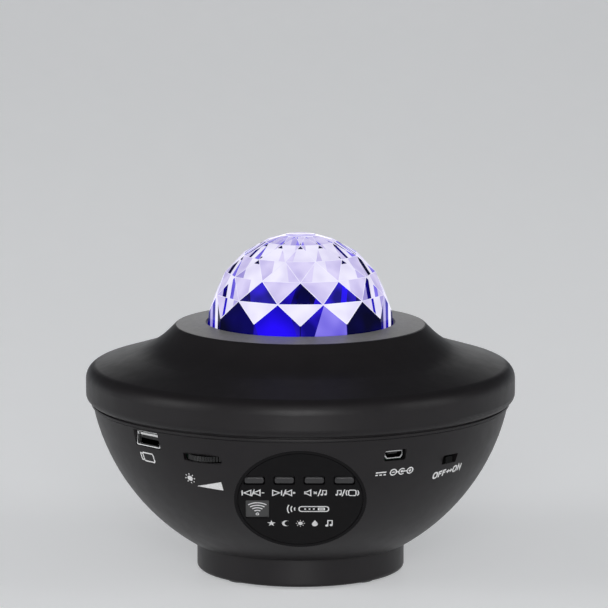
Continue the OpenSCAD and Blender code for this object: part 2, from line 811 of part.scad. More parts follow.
module dome_lens() {
  color("#bcd4ff", 0.5) difference() {
    union() {
      facets();
      translate([0, 0, flange_z]) cylinder(r = dome_flange_r, h = flange_t);
    }
    translate([0, 0, dome_cz]) sphere(dome_inner_r, $fn = 144);
    translate([0, 0, flange_z - 1]) cylinder(r = dome_inner_r, h = dome_cz - flange_z + 1, $fn = 144);
  }
}

// ---- Projector

module deck_reflector() {
  color("#e8eaee") difference() {
    translate([0, 0, deck_z]) cylinder(r = deck_r, h = deck_t);
    translate([0, 0, deck_z - 1]) cylinder(r = lens_r + 2 * gap, h = deck_t + 2);
    at_laser(deck_z - 1) cylinder(r = grating_seat_r + grating_rim + 2 * gap, h = deck_t + 2);
  }
}

module at_motor(z) {
  translate(concat(polar(motor_dist, motor_dir), z)) children();
}

module at_laser(z) {
  translate(concat(polar(laser_dist, laser_dir), z)) children();
}

module at_motor_ears(z) {
  for (s = [-1, 1]) at_motor(z)
    rotate([0, 0, motor_dir + 90]) translate([s * motor_ear, 0, 0]) children();
}

module chassis_plate() {
  color("#2c2c30") difference() {
    union() {
      rod(plate_r, plate_z, plate_top_z);
      round_axis(4, post_ring_r, 45) rod(post_r, post_top_z, plate_z + eps);
      round_axis(4, column_ring_r, 0) rod(column_r, plate_top_z - eps, deck_z);
      translate([0, 0, plate_top_z - eps]) ring(boss_r, boss_in_r, gear_z + gear_t - gap - plate_top_z);
      translate([0, 0, plate_top_z - eps]) ring(boss_r + shoulder_w, boss_r - eps, shoulder_h + eps);
      at_laser(plate_top_z - eps) cylinder(r = root_r(grating_teeth) + 0.4, h = shoulder_h + eps);
    }
    rod(sink_boss_r + seat_gap, plate_z - 1, plate_top_z + 1);
    at_laser(plate_z - 1) cylinder(r = laser_r + seat_gap, h = plate_t + 1);
    at_laser(plate_z) cylinder(r = nose_r + seat_gap, h = plate_t + shoulder_h + 1);
    at_motor(plate_z - 1) cylinder(r = motor_boss_r + gap, h = plate_t + 2);
    at_motor_ears(plate_z - 1) cylinder(r = tiny_screw[2] + pilot_gap, h = plate_t + 2);
    round_axis(4, post_ring_r, 45)
      rod(big_screw[2] + pilot_gap, post_top_z - 1, post_top_z - post_web + housing_screw_l + 0.6);
    round_axis(4, chassis_screw_ring_r, 45) rod(small_screw[2] + pass_gap, plate_z - 1, plate_top_z + 1);
    translate([0, 0, plate_z - 1]) round_axis(4, wire_slot_ring_r, 0)
      linear_extrude(plate_t + 2) pill(wire_slot[0], wire_slot[1]);
  }
}

module chassis_screws() {
  color(steel) translate([0, 0, plate_z]) round_axis(4, chassis_screw_ring_r, 45)
    mirror([0, 0, 1]) screw(small_screw, chassis_screw_l);
}

module ripple_gear() {
  color("#f2f2ee") translate([0, 0, gear_z]) linear_extrude(gear_t) difference() {
    gear_outline(ripple_teeth, 0);
    circle(boss_r + journal_gap);
  }
}

// Ripple lens: a domed cup whose outside swells and sinks in rings
module ripple_section() {
  wave = 0.35;
  swell_r = 1.6;
  top_r = lens_r - wave;
  cap_z = gear_top_z + lens_h - top_r * 0.72;
  rise = gear_top_z + lens_h - cap_z;
  cap_r = (pow(top_r, 2) + pow(rise, 2)) / (2 * rise);
  difference() {
    union() {
      translate([0, gear_top_z]) square([top_r, cap_z - gear_top_z]);
      intersection() {
        translate([0, gear_top_z + lens_h - cap_r]) circle(cap_r);
        translate([0, cap_z - eps]) square([top_r, rise + 1]);
      }
      translate([0, gear_top_z + lens_h - cap_r]) for (i = [0 : 4]) rotate(-i * 11.5 - 4)
        translate([0, cap_r - swell_r]) circle(swell_r + wave);
      translate([top_r - 1.2, gear_top_z]) square([1.2 + wave, 1.2]);
    }
    translate([0, gear_top_z - 1]) square([top_r - lens_wall, cap_z - gear_top_z + 1]);
    intersection() {
      translate([0, gear_top_z + lens_h - cap_r]) circle(cap_r - lens_wall);
      translate([0, cap_z - 1]) square([top_r - lens_wall, rise + 1]);
    }
    translate([-5, gear_top_z - 1]) square([5, lens_h + 3]);
  }
}

module ripple_lens() {
  color("#9cc8ff", 0.6) rotate_extrude() ripple_section();
}

module motor_pinion() {
  color("#f2f2ee") at_motor(gear_z) {
    linear_extrude(gear_t) difference() {
      gear_outline(pinion_teeth, pinion_phase);
      circle(shaft_r + 0.02);
    }
    translate([0, 0, -1.2]) ring(root_r(pinion_teeth) - 0.8, shaft_r + 0.02, 1.2 + eps);
  }
}

module motor_shaft() {
  color(steel) at_motor(plate_z - 4) cylinder(r = shaft_r, h = gear_top_z - plate_z + 4.6);
}

module drive_motor() {
  color("#b9bcc2") difference() {
    union() {
      at_motor(plate_z - motor_h) rotate_extrude()
        outline([[0, 0], [motor_r, 0, 1], [motor_r, motor_h - motor_ear_t], [0, motor_h - motor_ear_t]]);
      hull() at_motor_ears(plate_z - motor_ear_t) cylinder(r = motor_ear_r, h = motor_ear_t, $fn = 32);
      at_motor(plate_z - eps) cylinder(r = motor_boss_r, h = 1.4);
      at_motor(plate_z - motor_h - 2) translate([-4, -1.5, 0]) cube([8, 3, 2 + eps]);
    }
    at_motor(plate_z - 4.4) cylinder(r = shaft_r + journal_gap, h = 8);
    at_motor_ears(plate_z - 2) cylinder(r = tiny_screw[2] + pass_gap, h = 4);
  }
}

module motor_screws() {
  color(steel) at_motor_ears(plate_z - motor_ear_t) mirror([0, 0, 1]) screw(tiny_screw, tiny_bite);
}

module laser_module() {
  color("#c8a24a") at_laser(0) {
    translate([0, 0, plate_top_z - laser_h]) difference() {
      cylinder(r = laser_r, h = laser_h);
      for (k = [0 : 3]) translate([0, 0, 3 + k * 2.4]) ring(laser_r + 1, laser_r - 0.5, 1);
    }
    translate([0, 0, plate_top_z - eps]) difference() {
      cylinder(r = nose_r, h = nose_top_z - plate_top_z + eps);
      translate([0, 0, nose_top_z - plate_top_z - 1.5]) cylinder(r = 1.8, h = 3);
    }
  }
}

module grating_gear() {
  bore = nose_r + journal_gap;
  hub_r = grating_seat_r + grating_rim;
  color("#f2f2ee") at_laser(gear_z) {
    linear_extrude(gear_t) difference() {
      gear_outline(grating_teeth, grating_phase);
      circle(bore);
    }
    translate([0, 0, gear_t - eps]) ring(hub_r, bore, grating_seat_z - gear_top_z + eps);
    translate([0, 0, grating_seat_z - gear_z - eps])
      ring(hub_r, grating_seat_r, grating_top_z - grating_seat_z);
  }
}

module grating_disc() {
  color("#a8e0c0", 0.6) at_laser(grating_seat_z)
    cylinder(r = grating_seat_r - seat_gap, h = grating_disc_t);
}

module led_board() {
  color("#e6e6e2") difference() {
    translate([0, 0, plate_top_z]) cylinder(r = led_board_r, h = led_board_t);
    round_axis(2, led_screw_ring_r, 0) rod(tiny_screw[2] + pass_gap, plate_top_z - 1, led_top_z + 1);
    translate([0, -led_board_r, plate_top_z]) rotate([0, 0, 45])
      cube([board_notch, board_notch, 3 * led_board_t], center = true);
  }
}

module led_emitters() {
  color("#f4e9a0") translate([0, 0, led_top_z]) round_axis(4, led_ring_r, 45) {
    translate([-led_w / 2, -led_w / 2, 0]) cube([led_w, led_w, led_h]);
    translate([0, 0, led_h]) sphere(led_h);
  }
}

module led_collimator() {
  edge_r = boss_in_r - collimator_edge_gap;
  color("#eef6ff", 0.6) {
    translate([0, 0, collimator_z]) difference() {
      rotate_extrude() outline([[0, 0], [edge_r, 0], [edge_r, collimator_edge_t],
        [edge_r / 2, collimator_t, collimator_round], [0, collimator_t]]);
      round_axis(4, led_ring_r, 45) translate([0, 0, lamp_cup_z])
        cylinder(r1 = lamp_cup[0], r2 = lamp_cup[1], h = lamp_cup[2]);
    }
    round_axis(3, edge_r - 1.5 * collimator_leg_r, 60) rod(collimator_leg_r, led_top_z, collimator_z + eps);
  }
}

module led_screws() {
  color(steel) translate([0, 0, led_top_z]) round_axis(2, led_screw_ring_r, 0)
    screw(tiny_screw, led_board_t + tiny_bite);
}

module heat_sink() {
  base_z = plate_z - sink_base_t;
  fin_t = 1.4;
  fin_pitch = (sink_r - fin_t) / 3.1;
  color("#9fa4aa") difference() {
    union() {
      rod(sink_r, base_z, plate_z);
      rod(sink_boss_r, plate_z - eps, plate_top_z);
      intersection() {
        for (i = [-3 : 3]) translate([i * fin_pitch - fin_t / 2, -sink_r, base_z - fin_h])
          cube([fin_t, 2 * sink_r, fin_h + eps]);
        rod(sink_r, base_z - fin_h, base_z + 1);
      }
    }
    round_axis(2, led_screw_ring_r, 0)
      rod(tiny_screw[2] + pilot_gap, plate_top_z - tiny_bite - 0.4, plate_top_z + 1);
  }
}

// ---- Control panel

module panel_faceplate() {
  color(black) on_panel() translate([0, 0, recess_d]) difference() {
    cylinder(r = faceplate_r, h = faceplate_t);
    button_holes(-1, faceplate_t + 1);
    translate([window_x, window_y, -1]) linear_extrude(faceplate_t + 2)
      outline(rectangle(window_w + 2 * seat_gap, window_h + 2 * seat_gap, 0.4));
  }
}

module receiver_window() {
  color("#5b5a5e") on_panel() translate([window_x, window_y, recess_d])
    linear_extrude(faceplate_t - 0.1) outline(rectangle(window_w, window_h, 0.3));
}

module button(i) {
  color("#3a393d") on_panel() translate([button_xs[i], button_row, 0]) {
    translate([0, 0, button_flange_d])
      linear_extrude(button_flange_t) pill(button_l + 2 * button_lip, button_w + 2 * button_lip);
    translate([0, 0, button_flange_d])
      linear_extrude(button_top_d - button_bevel - button_flange_d) pill(button_l, button_w);
    translate([0, 0, button_top_d - button_bevel - eps])
      linear_extrude(button_bevel + eps) pill(button_l - 1.5 * button_bevel, button_w - 1.5 * button_bevel);
    rod(switch_stem_r, switch_top_d - stem_in, button_flange_d + eps);
  }
}

module button_previous() {
  button(0);
}

module button_next() {
  button(1);
}

module button_mute() {
  button(2);
}

module button_mode() {
  button(3);
}

module button_board() {
  color(board_green) on_panel() translate([0, 0, button_board_d - board_t]) difference() {
    linear_extrude(board_t) intersection() {
      circle(button_board_r);
      translate([-button_board_r, button_board_top - 3 * button_board_r]) square([2, 3] * button_board_r);
    }
    at_button_posts() rod(tiny_screw[2] + pass_gap, -1, board_t + 1);
  }
}

module tact_switches() {
  color("#3c3f44") on_panel() for (x = button_xs) translate([x, button_row, button_board_d]) difference() {
    translate([-switch_side / 2, -switch_side / 2, 0]) cube([switch_side, switch_side, switch_h]);
    rod(switch_stem_r + gap, switch_h - stem_in - button_travel - gap, switch_h + 1);
  }
}

module infrared_receiver() {
  color("#242428") on_panel() translate([window_x, window_y, button_board_d]) {
    translate([-switch_side / 2 + 0.2, -switch_side / 2, 0])
      cube([switch_side - 0.4, switch_side, receiver_h]);
    translate([0, 0, receiver_h - 0.4]) sphere(receiver_lens_r);
  }
}

module button_board_screws() {
  color(steel) on_panel() at_button_posts() translate([0, 0, button_board_d - board_t])
    mirror([0, 0, 1]) screw(tiny_screw, board_t + tiny_bite);
}

// ---- Main board

module main_board() {
  color(board_green) difference() {
    translate([0, 0, board_z]) linear_extrude(board_t) difference() {
      intersection() {
        circle(board_r);
        polygon([[0, 0], 3 * board_r * [sin(-board_half_angle), -cos(board_half_angle)],
          3 * board_r * [sin(board_half_angle), -cos(board_half_angle)]]);
      }
      circle(board_in_r);
      translate([board_front_left, -board_r - 1])
        square([board_front_right - board_front_left, board_front_cut + 1]);
    }
    facing(wheel_az) translate([0, -wheel_axis_r, 0]) rod(wheel_hole_r, board_z - 1, board_top_z + 1);
    at_board_posts() rod(small_screw[2] + pass_gap, board_z - 1, board_top_z + 1);
  }
}

module board_chips() {
  color("#222226") {
    for (c = chips) facing(c[0]) translate([0, -board_in_r - c[1], board_top_z + c[2][2] / 2])
      cube(c[2], center = true);
    for (c = capacitors) facing(c[0]) translate([0, -board_in_r - c[1], board_top_z])
      cylinder(r = c[2], h = c[3]);
  }
}

module board_screws() {
  color(steel) at_board_posts() translate([0, 0, board_top_z]) screw(small_screw, board_screw_l);
}

module usb_a_shell() {
  color(steel) facing(usb_az) difference() {
    pushed_out(usb_mouth_r - usb_l, usb_mouth_r, usb_z + usb_h / 2) outline(rectangle(usb_w, usb_h, 0.6));
    pushed_out(usb_mouth_r - usb_l + shell_t, usb_mouth_r + 1, usb_z + usb_h / 2)
      outline(rectangle(usb_w - 2 * shell_t, usb_h - 2 * shell_t, 0.3));
  }
}

module usb_a_insert() {
  color("#ececec") facing(usb_az) {
    translate([-usb_w / 2 + 0.6, -board_r, board_top_z])
      cube([usb_w - 1.2, board_r - usb_mouth_r + usb_l, usb_base_t]);
    translate([-usb_tongue[0] / 2, -usb_mouth_r + usb_tongue_in, usb_z + shell_t + usb_tongue_up])
      cube([usb_tongue[0], usb_l - usb_tongue_in - shell_t, usb_tongue[1]]);
  }
}

module micro_outline(d) {
  w = inlet_w / 2 - d;
  h = inlet_h / 2 - d;
  cut = [0.9, 1.1];
  outline([
    [-w + cut[0], -h, 0.2], [w - cut[0], -h, 0.2], [w, -h + cut[1], 0.3],
    [w, h, 0.3], [-w, h, 0.3], [-w, -h + cut[1], 0.3],
  ]);
}

module micro_usb_shell() {
  back_r = inlet_mouth_r - inlet_l;
  mid_z = board_top_z + inlet_h / 2;
  color(steel) facing(inlet_az) difference() {
    pushed_out(back_r, inlet_mouth_r, mid_z) micro_outline(0);
    pushed_out(back_r + shell_t, inlet_mouth_r + 1, mid_z) micro_outline(shell_t);
  }
}

module micro_usb_insert() {
  color("#2e2e31") facing(inlet_az)
    translate([-inlet_tongue[0] / 2, -inlet_mouth_r + inlet_tongue_in, board_top_z + inlet_h / 2 + 0.2])
      cube([inlet_tongue[0], inlet_l - inlet_tongue_in - shell_t, inlet_tongue[1]]);
}

module switch_body() {
  color(steel) facing(switch_az) difference() {
    translate([-switch_w / 2, -switch_front_r, board_z - switch_body_h])
      cube([switch_w, switch_l, switch_body_h]);
    translate([-(knob_stem_w + knob_travel) / 2 - gap, -switch_front_r - 1, knob_z - knob_stem_h / 2 - gap])
      cube([knob_stem_w + knob_travel + 2 * gap, knob_stem_in + 1.4, knob_stem_h + 2 * gap]);
  }
}

module switch_knob() {
  color(black) facing(switch_az) translate([-knob_travel / 2, 0, 0]) {
    pushed_out(switch_front_r - knob_stem_in, switch_front_r + 1, knob_z)
      square([knob_stem_w, knob_stem_h], center = true);
    pushed_out(switch_front_r + gap, bowl_at(knob_z) + knob_proud, knob_z)
      outline(rectangle(knob_w, knob_h, 0.5));
  }
}

module wheel_frame() {
  color("#2a2a2e") facing(wheel_az) {
    translate([-wheel_arm_w / 2, -wheel_axis_r - wheel_arm_end, board_z - wheel_arm_t])
      cube([wheel_arm_w, wheel_arm_l, wheel_arm_t]);
    translate([0, -wheel_axis_r, 0]) rod(wheel_pin_r, board_z - eps, wheel_z + wheel_t + 0.5);
  }
}

module brightness_wheel() {
  ridges = 48;
  ridge_h = 0.35;
  color("#2b2a2d") facing(wheel_az) translate([0, -wheel_axis_r, wheel_z])
    linear_extrude(wheel_t) difference() {
      polygon([for (i = [0 : 2 * ridges - 1]) polar(wheel_r - (i % 2) * ridge_h, i * 180 / ridges)]);
      circle(wheel_pin_r + journal_gap);
    }
}

// ---- Speaker

module basket_section() {
  difference() {
    outline([[0, 0], [speaker_r, 0], [speaker_r, basket_t], [surround_r + basket_t, basket_t, 0.5],
      [magnet_r + 0.5, basket_h], [0, basket_h]]);
    outline([[-1, -1], [surround_r, -1], [surround_r, 0.2], [magnet_r - 0.6, basket_h - basket_t],
      [-1, basket_h - basket_t]]);
    square([coil_r + 1.4, 2 * basket_h]);
  }
}

// The basket is pressed from sheet, with four windows and four ears
module speaker_basket() {
  color("#3f4246") translate([0, 0, speaker_z]) difference() {
    union() {
      rotate_extrude() basket_section();
      round_axis(4, ear_ring_r, ear_az) rod(ear_r, 0, basket_t);
      round_axis(4, speaker_r, ear_az) translate([-ear_r, -1.5, 0]) cube([2 * ear_r, 2.5, basket_t]);
    }
    round_axis(4, ear_ring_r, ear_az) rod(tiny_screw[2] + pass_gap, -1, basket_t + 1);
    for (i = [0 : 3]) rotate([0, 0, i * 90 + 20]) rotate_extrude(angle = 50)
      translate([magnet_r + window_in, window_rib])
        square([surround_r - magnet_r - window_in - window_out, basket_h - window_rib - 2 * basket_t]);
  }
}

module speaker_magnet() {
  color("#6c7076") translate([0, 0, speaker_z + basket_h]) difference() {
    rotate_extrude() outline([[0, 0], [magnet_r, 0, 0.4], [magnet_r, magnet_h, 0.6], [0, magnet_h]]);
    translate([0, 0, -1]) ring(coil_r + 0.9, coil_r - 0.9, magnet_h - magnet_web + 1);
  }
}

module speaker_surround() {
  mid = (surround_r + surround_in_r) / 2;
  half = (surround_r - surround_in_r) / 2;
  color("#1f1f21") translate([0, 0, speaker_z]) rotate_extrude() difference() {
    translate([mid, 0]) circle(half - 0.3);
    translate([mid, 0]) circle(half - 0.9);
    translate([mid - half, 0]) square([2 * half, half]);
  }
}

module speaker_cone() {
  slant = basket_h - basket_t - 2.2;
  color("#48484b") translate([0, 0, speaker_z]) {
    rotate_extrude() polygon([[surround_in_r, 0], [surround_in_r, 0.6], [coil_r + 0.5, slant + 0.6],
      [coil_r - 0.3, slant + 0.6], [coil_r - 0.3, slant], [surround_in_r - 0.8, 0]]);
    translate([0, 0, slant])
      ring(coil_r + 0.3, coil_r - 0.3, basket_h - slant + magnet_h - magnet_web - cone_travel - gap);
    translate([0, 0, slant]) rotate_extrude() intersection() {
      difference() {
        translate([0, coil_r]) circle(coil_r * 1.4);
        translate([0, coil_r]) circle(coil_r * 1.4 - 0.5);
      }
      translate([0, -coil_r]) square([coil_r, coil_r + 0.4]);
    }
  }
}

module speaker_gasket() {
  color("#28282a") translate([0, 0, pedestal_floor_z + seat_h])
    ring(speaker_r, surround_r + 0.2, gasket_t);
}

module speaker_screws() {
  color(steel) translate([0, 0, speaker_z + basket_t]) round_axis(4, ear_ring_r, ear_az)
    screw(tiny_screw, basket_t + tiny_bite);
}

// ---- What is shown

bowl_housing();
top_cover();
pedestal();
rubber_feet();
pedestal_screws();
housing_screws();
dome_lens();
deck_reflector();
chassis_plate();
chassis_screws();
ripple_gear();
ripple_lens();
motor_pinion();
motor_shaft();
drive_motor();
motor_screws();
laser_module();
grating_gear();
grating_disc();
led_board();
led_emitters();
led_collimator();
led_screws();
heat_sink();
panel_faceplate();
receiver_window();
button_previous();
button_next();
button_mute();
button_mode();
button_board();
tact_switches();
infrared_receiver();
button_board_screws();
main_board();
board_chips();
board_screws();
usb_a_shell();
usb_a_insert();
micro_usb_shell();
micro_usb_insert();
switch_body();
switch_knob();
wheel_frame();
brightness_wheel();
speaker_basket();
speaker_magnet();
speaker_surround();
speaker_cone();
speaker_gasket();
speaker_screws();
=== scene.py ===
"""Looks of the star night light projector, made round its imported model.

Lengths are in metres, as in Blender, and mm() makes them of millimetres. The flat sketches of the prints,
the faceplate, the caps and the thumbwheel are in millimetres, with u to the right and v up, and a place
function puts each on the model. An azimuth is in degrees from -Y, where the panel faces, towards +X. Sizes of
the model that the boxes of its nodes don't give are repeated here.
"""
import json
import math

import bmesh
import bpy
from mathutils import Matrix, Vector
from mathutils.geometry import tessellate_polygon


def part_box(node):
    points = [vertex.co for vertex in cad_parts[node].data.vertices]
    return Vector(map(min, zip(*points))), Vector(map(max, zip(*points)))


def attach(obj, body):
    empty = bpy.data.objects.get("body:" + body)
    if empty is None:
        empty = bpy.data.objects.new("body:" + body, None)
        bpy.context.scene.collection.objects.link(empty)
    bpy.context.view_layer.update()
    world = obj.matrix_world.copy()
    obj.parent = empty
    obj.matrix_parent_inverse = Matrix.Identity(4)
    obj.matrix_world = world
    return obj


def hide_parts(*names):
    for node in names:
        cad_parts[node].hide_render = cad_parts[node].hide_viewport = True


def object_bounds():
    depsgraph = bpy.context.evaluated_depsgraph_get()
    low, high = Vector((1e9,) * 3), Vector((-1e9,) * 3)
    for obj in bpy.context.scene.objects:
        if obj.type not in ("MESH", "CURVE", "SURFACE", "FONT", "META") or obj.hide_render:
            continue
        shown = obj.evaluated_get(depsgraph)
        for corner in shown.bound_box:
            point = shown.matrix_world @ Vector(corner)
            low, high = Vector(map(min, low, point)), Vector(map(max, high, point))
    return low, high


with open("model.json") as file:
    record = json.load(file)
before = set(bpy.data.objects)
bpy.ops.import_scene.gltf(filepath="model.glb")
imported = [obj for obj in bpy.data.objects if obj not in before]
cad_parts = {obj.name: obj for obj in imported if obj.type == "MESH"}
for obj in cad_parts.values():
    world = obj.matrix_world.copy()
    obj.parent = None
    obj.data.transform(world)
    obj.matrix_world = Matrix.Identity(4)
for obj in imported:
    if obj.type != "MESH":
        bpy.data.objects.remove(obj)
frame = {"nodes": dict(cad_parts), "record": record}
cad_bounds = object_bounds()
NODES = frame["nodes"]


def mm(length):
    return length / 1000


# ---- Sizes that the looks share with the model

UP = Vector((0, 0, 1))
BOWL_R = mm(81.6)
BOWL_FOOT_R = mm(42.2)
BOWL_FOOT_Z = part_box("pedestal")[1].z
BOWL_CENTRE = Vector((0, 0, BOWL_FOOT_Z + math.sqrt(BOWL_R**2 - BOWL_FOOT_R**2)))
PANEL_R = mm(24.8)
PANEL_TILT = math.radians(32)
PANEL_OUT = Vector((0, -math.cos(PANEL_TILT), -math.sin(PANEL_TILT)))
PANEL_UP = Vector((0, -math.sin(PANEL_TILT), math.cos(PANEL_TILT)))
FACEPLATE_SINK = mm(0.3)
# From the bowl's centre to the faceplate's face in the model
FACE_D = math.sqrt(BOWL_R**2 - PANEL_R**2) - FACEPLATE_SINK
USB_AZIMUTH = -46.8
INLET_AZIMUTH = 26.8
DOME_R = mm(35.5)
DOME_COUNT = 12
# The elevation of each ring of the dome's corners, in degrees
DOME_RINGS = [8.5, 21.4, 35.8, 51.2, 67, 79.8]
DOME_FLANGE_R = mm(44)
DOME_FLANGE_T = mm(1.4)
DOME_INNER_R = mm(32.2)
# The node of each button, by the body it is on
BUTTONS = {"previous": "button_previous", "next": "button_next", "mute": "button_mute", "mode": "button_mode"}


def outward(azimuth):
    """The level direction at an azimuth."""
    turned = math.radians(azimuth)
    return Vector((math.sin(turned), -math.cos(turned), 0))


def reach(node, direction):
    """How far a node reaches along a direction from the origin."""
    return max(v.co.dot(direction) for v in NODES[node].data.vertices)


def placed(name, data):
    """A new object of this data, in the scene."""
    made = bpy.data.objects.new(name, data)
    bpy.context.scene.collection.objects.link(made)
    return made


# ---- Camera, at the photograph's viewing angle

CAMERA_AT = (mm(1.35), mm(-1573.2), mm(357.6))
CAMERA_PITCH = math.radians(9.18)
LENS_MM = 245.7
SENSOR_MM = 36
CLIP_END = 60


def make_camera():
    data = bpy.data.cameras.new("camera")
    data.lens = LENS_MM
    data.sensor_width = SENSOR_MM
    data.clip_end = CLIP_END
    camera = placed("camera", data)
    camera.location = CAMERA_AT
    camera.rotation_euler = (math.pi / 2 - CAMERA_PITCH, 0, 0)
    bpy.context.scene.camera = camera


# ---- Node trees

# Most of a noise lies between these levels
NOISE_LOW = 0.3
NOISE_HIGH = 0.7


def grey(level, tint=(1, 1, 1)):
    return (level * tint[0], level * tint[1], level * tint[2], 1)


def shaded(colour, factor):
    return tuple(c * factor for c in colour[:3]) + (1,)


class Tree:
    """A node tree, with short calls to add nodes to it.

    An input takes a number, a colour or a vector, or another node's output, which is linked to it.
    """

    def __init__(self, owner):
        owner.use_nodes = True
        self.tree = owner.node_tree
        self.coords = self.tree.nodes.new("ShaderNodeTexCoord")

    def give(self, node, inputs):
        for key, value in inputs.items():
            if isinstance(value, bpy.types.NodeSocket):
                self.tree.links.new(value, node.inputs[key])
            else:
                node.inputs[key].default_value = value

    def node(self, kind, inputs, **settings):
        made = self.tree.nodes.new(kind)
        for key, value in settings.items():
            setattr(made, key, value)
        self.give(made, inputs)
        return made

    def calculated(self, operation, first, second):
        return self.node("ShaderNodeMath", {0: first, 1: second}, operation=operation).outputs[0]

    def ranged(self, value, start, end, low=0, high=1, kind="LINEAR"):
        """Goes from low to high as the value goes from start to end."""
        inputs = {"Value": value, "From Min": start, "From Max": end, "To Min": low, "To Max": high}
        return self.node("ShaderNodeMapRange", inputs, interpolation_type=kind).outputs["Result"]

    def seen(self, strength):
        """A strength for what the camera sees, straight, reflected or through glass, and 0 for the rest."""
        path = self.node("ShaderNodeLightPath", {})
        total = path.outputs["Is Camera Ray"]
        for ray in ("Is Glossy Ray", "Is Transmission Ray"):
            total = self.calculated("MAXIMUM", total, path.outputs[ray])
        return self.calculated("MULTIPLY", total, strength)


class Maker(Tree):
    """A material's node tree, with short calls for what the materials share."""

    def __init__(self, name):
        self.material = bpy.data.materials.new(name)
        super().__init__(self.material)
        self.shader = self.tree.nodes["Principled BSDF"]

    def set(self, **inputs):
        """Gives the shader its inputs, with _ for the spaces in their names."""
        self.give(self.shader, {key.replace("_", " "): value for key, value in inputs.items()})

    def noise(self, size, detail=2, scale=None):
        """Noise whose blotches are about that size, in coordinates that may be scaled along each axis."""
        vector = self.coords.outputs["Object"]
        if scale:
            vector = self.node("ShaderNodeMapping", {"Vector": vector, "Scale": scale}).outputs["Vector"]
        inputs = {"Vector": vector, "Scale": 1 / size, "Detail": detail}
        return self.node("ShaderNodeTexNoise", inputs).outputs["Fac"]

    def maze(self, size):
        """The distance to the edges of a net of cells of about that size."""
        inputs = {"Vector": self.coords.outputs["Object"], "Scale": 1 / size}
        return self.node("ShaderNodeTexVoronoi", inputs, feature="DISTANCE_TO_EDGE").outputs["Distance"]

    def ramp(self, factor, *stops):
        """A colour ramp with two (place, colour) stops."""
        made = self.node("ShaderNodeValToRGB", {"Fac": factor})
        for element, (place, colour) in zip(made.color_ramp.elements, stops):
            element.position = place
            element.color = colour
        return made.outputs["Color"]

    def mottle(self, colour, spread, size, detail=3):
        """A base colour in blotches that go a share darker and lighter."""
        light = tuple(min(1, c) for c in shaded(colour, 1 + spread))
        stops = ((NOISE_LOW, shaded(colour, 1 - spread)), (NOISE_HIGH, light))
        self.set(Base_Color=self.ramp(self.noise(size, detail), *stops))

    def uneven(self, noise, low, high):
        """A roughness that goes from low to high with a noise."""
        self.set(Roughness=self.ranged(noise, NOISE_LOW, NOISE_HIGH, low, high))

    def bump(self, height, strength, depth):
        inputs = {"Height": height, "Strength": strength, "Distance": depth}
        self.set(Normal=self.node("ShaderNodeBump", inputs).outputs["Normal"])

    def lay_over(self, coords, direction, start, full, colour, specks):
        """Lays a colour over the part of the surface that faces a direction or lies far along it.

        With the coords "Normal" start and full are cosines to the direction, and with "Object" they are
        distances along it. The colour sets in at start, covers all from full on, and has specks of a size.
        """
        inputs = {0: self.coords.outputs[coords], 1: direction}
        along = self.node("ShaderNodeVectorMath", inputs, operation="DOT_PRODUCT").outputs["Value"]
        covered = self.ranged(along, start, full, kind="SMOOTHSTEP")
        under = self.shader.inputs["Base Color"].links[0].from_socket
        stops = ((NOISE_LOW, colour), (NOISE_HIGH, shaded(colour, 1.2)))
        speckled = self.ramp(self.noise(specks, 4), *stops)
        mix = self.node("ShaderNodeMix", {"Factor": covered, 6: under, 7: speckled}, data_type="RGBA")
        self.set(Base_Color=mix.outputs[2])


# ---- Materials. Over holds what lay_over takes, for a colour that lies over part of the surface.

def moulded(name, colour, rough=0.42, grain=mm(0.35), spread=0.08, specular=0.42, over=None):
    """Moulded plastic with a fine spark texture and a slightly uneven gloss."""
    make = Maker(name)
    make.mottle(colour, spread, size=mm(9))
    if over:
        make.lay_over(**over)
    make.uneven(make.noise(mm(5), 3), rough - 0.02, rough + 0.03)
    make.bump(make.noise(grain), strength=0.35, depth=mm(0.012))
    make.set(Specular_IOR_Level=specular)
    return make.material


def polished(name, colour, rough, coat=0.6, specular=0.5):
    """Polished plastic with a trace of haze and orange peel."""
    make = Maker(name)
    make.mottle(colour, spread=0.1, size=mm(7))
    make.uneven(make.noise(mm(3), 3), rough - 0.03, rough + 0.05)
    make.bump(make.noise(mm(2.2), 1), strength=0.25, depth=mm(0.01))
    make.set(Coat_Weight=coat, Coat_Roughness=0.08, Specular_IOR_Level=specular)
    return make.material


def metal(name, colour, rough=0.28, brush=(1, 1, 14), over=None):
    """Plated or drawn metal with fine lines along one direction."""
    make = Maker(name)
    make.mottle(colour, spread=0.08, size=mm(4))
    if over:
        make.lay_over(**over)
    lines = make.noise(mm(0.6), 3, scale=brush)
    make.uneven(lines, rough - 0.07, rough + 0.1)
    make.bump(lines, strength=0.25, depth=mm(0.01))
    make.set(Metallic=1.0)
    return make.material


def rubber(name, colour, rough=0.7):
    make = Maker(name)
    make.mottle(colour, spread=0.15, size=mm(3))
    make.uneven(make.noise(mm(1.5), 3), rough - 0.08, rough + 0.08)
    make.bump(make.noise(mm(0.25), 3), strength=0.5, depth=mm(0.02))
    make.set(Specular_IOR_Level=0.35)
    return make.material


def clear(name, colour, glow=0.0):
    """Clear moulded plastic with faint flow marks."""
    make = Maker(name)
    make.mottle(colour, spread=0.06, size=mm(12))
    make.uneven(make.noise(mm(6)), 0.04, 0.09)
    make.set(Transmission_Weight=0.9, IOR=1.49, Emission_Color=colour, Emission_Strength=glow)
    return make.material


def circuit(name, mask, track):
    """A circuit board: solder mask over a maze of tracks."""
    make = Maker(name)
    lines = make.maze(mm(2.6))
    make.set(Base_Color=make.ramp(lines, (0.02, track), (0.06, mask)))
    make.uneven(make.noise(mm(2)), 0.25, 0.4)
    make.bump(lines, strength=0.2, depth=mm(0.03))
    return make.material


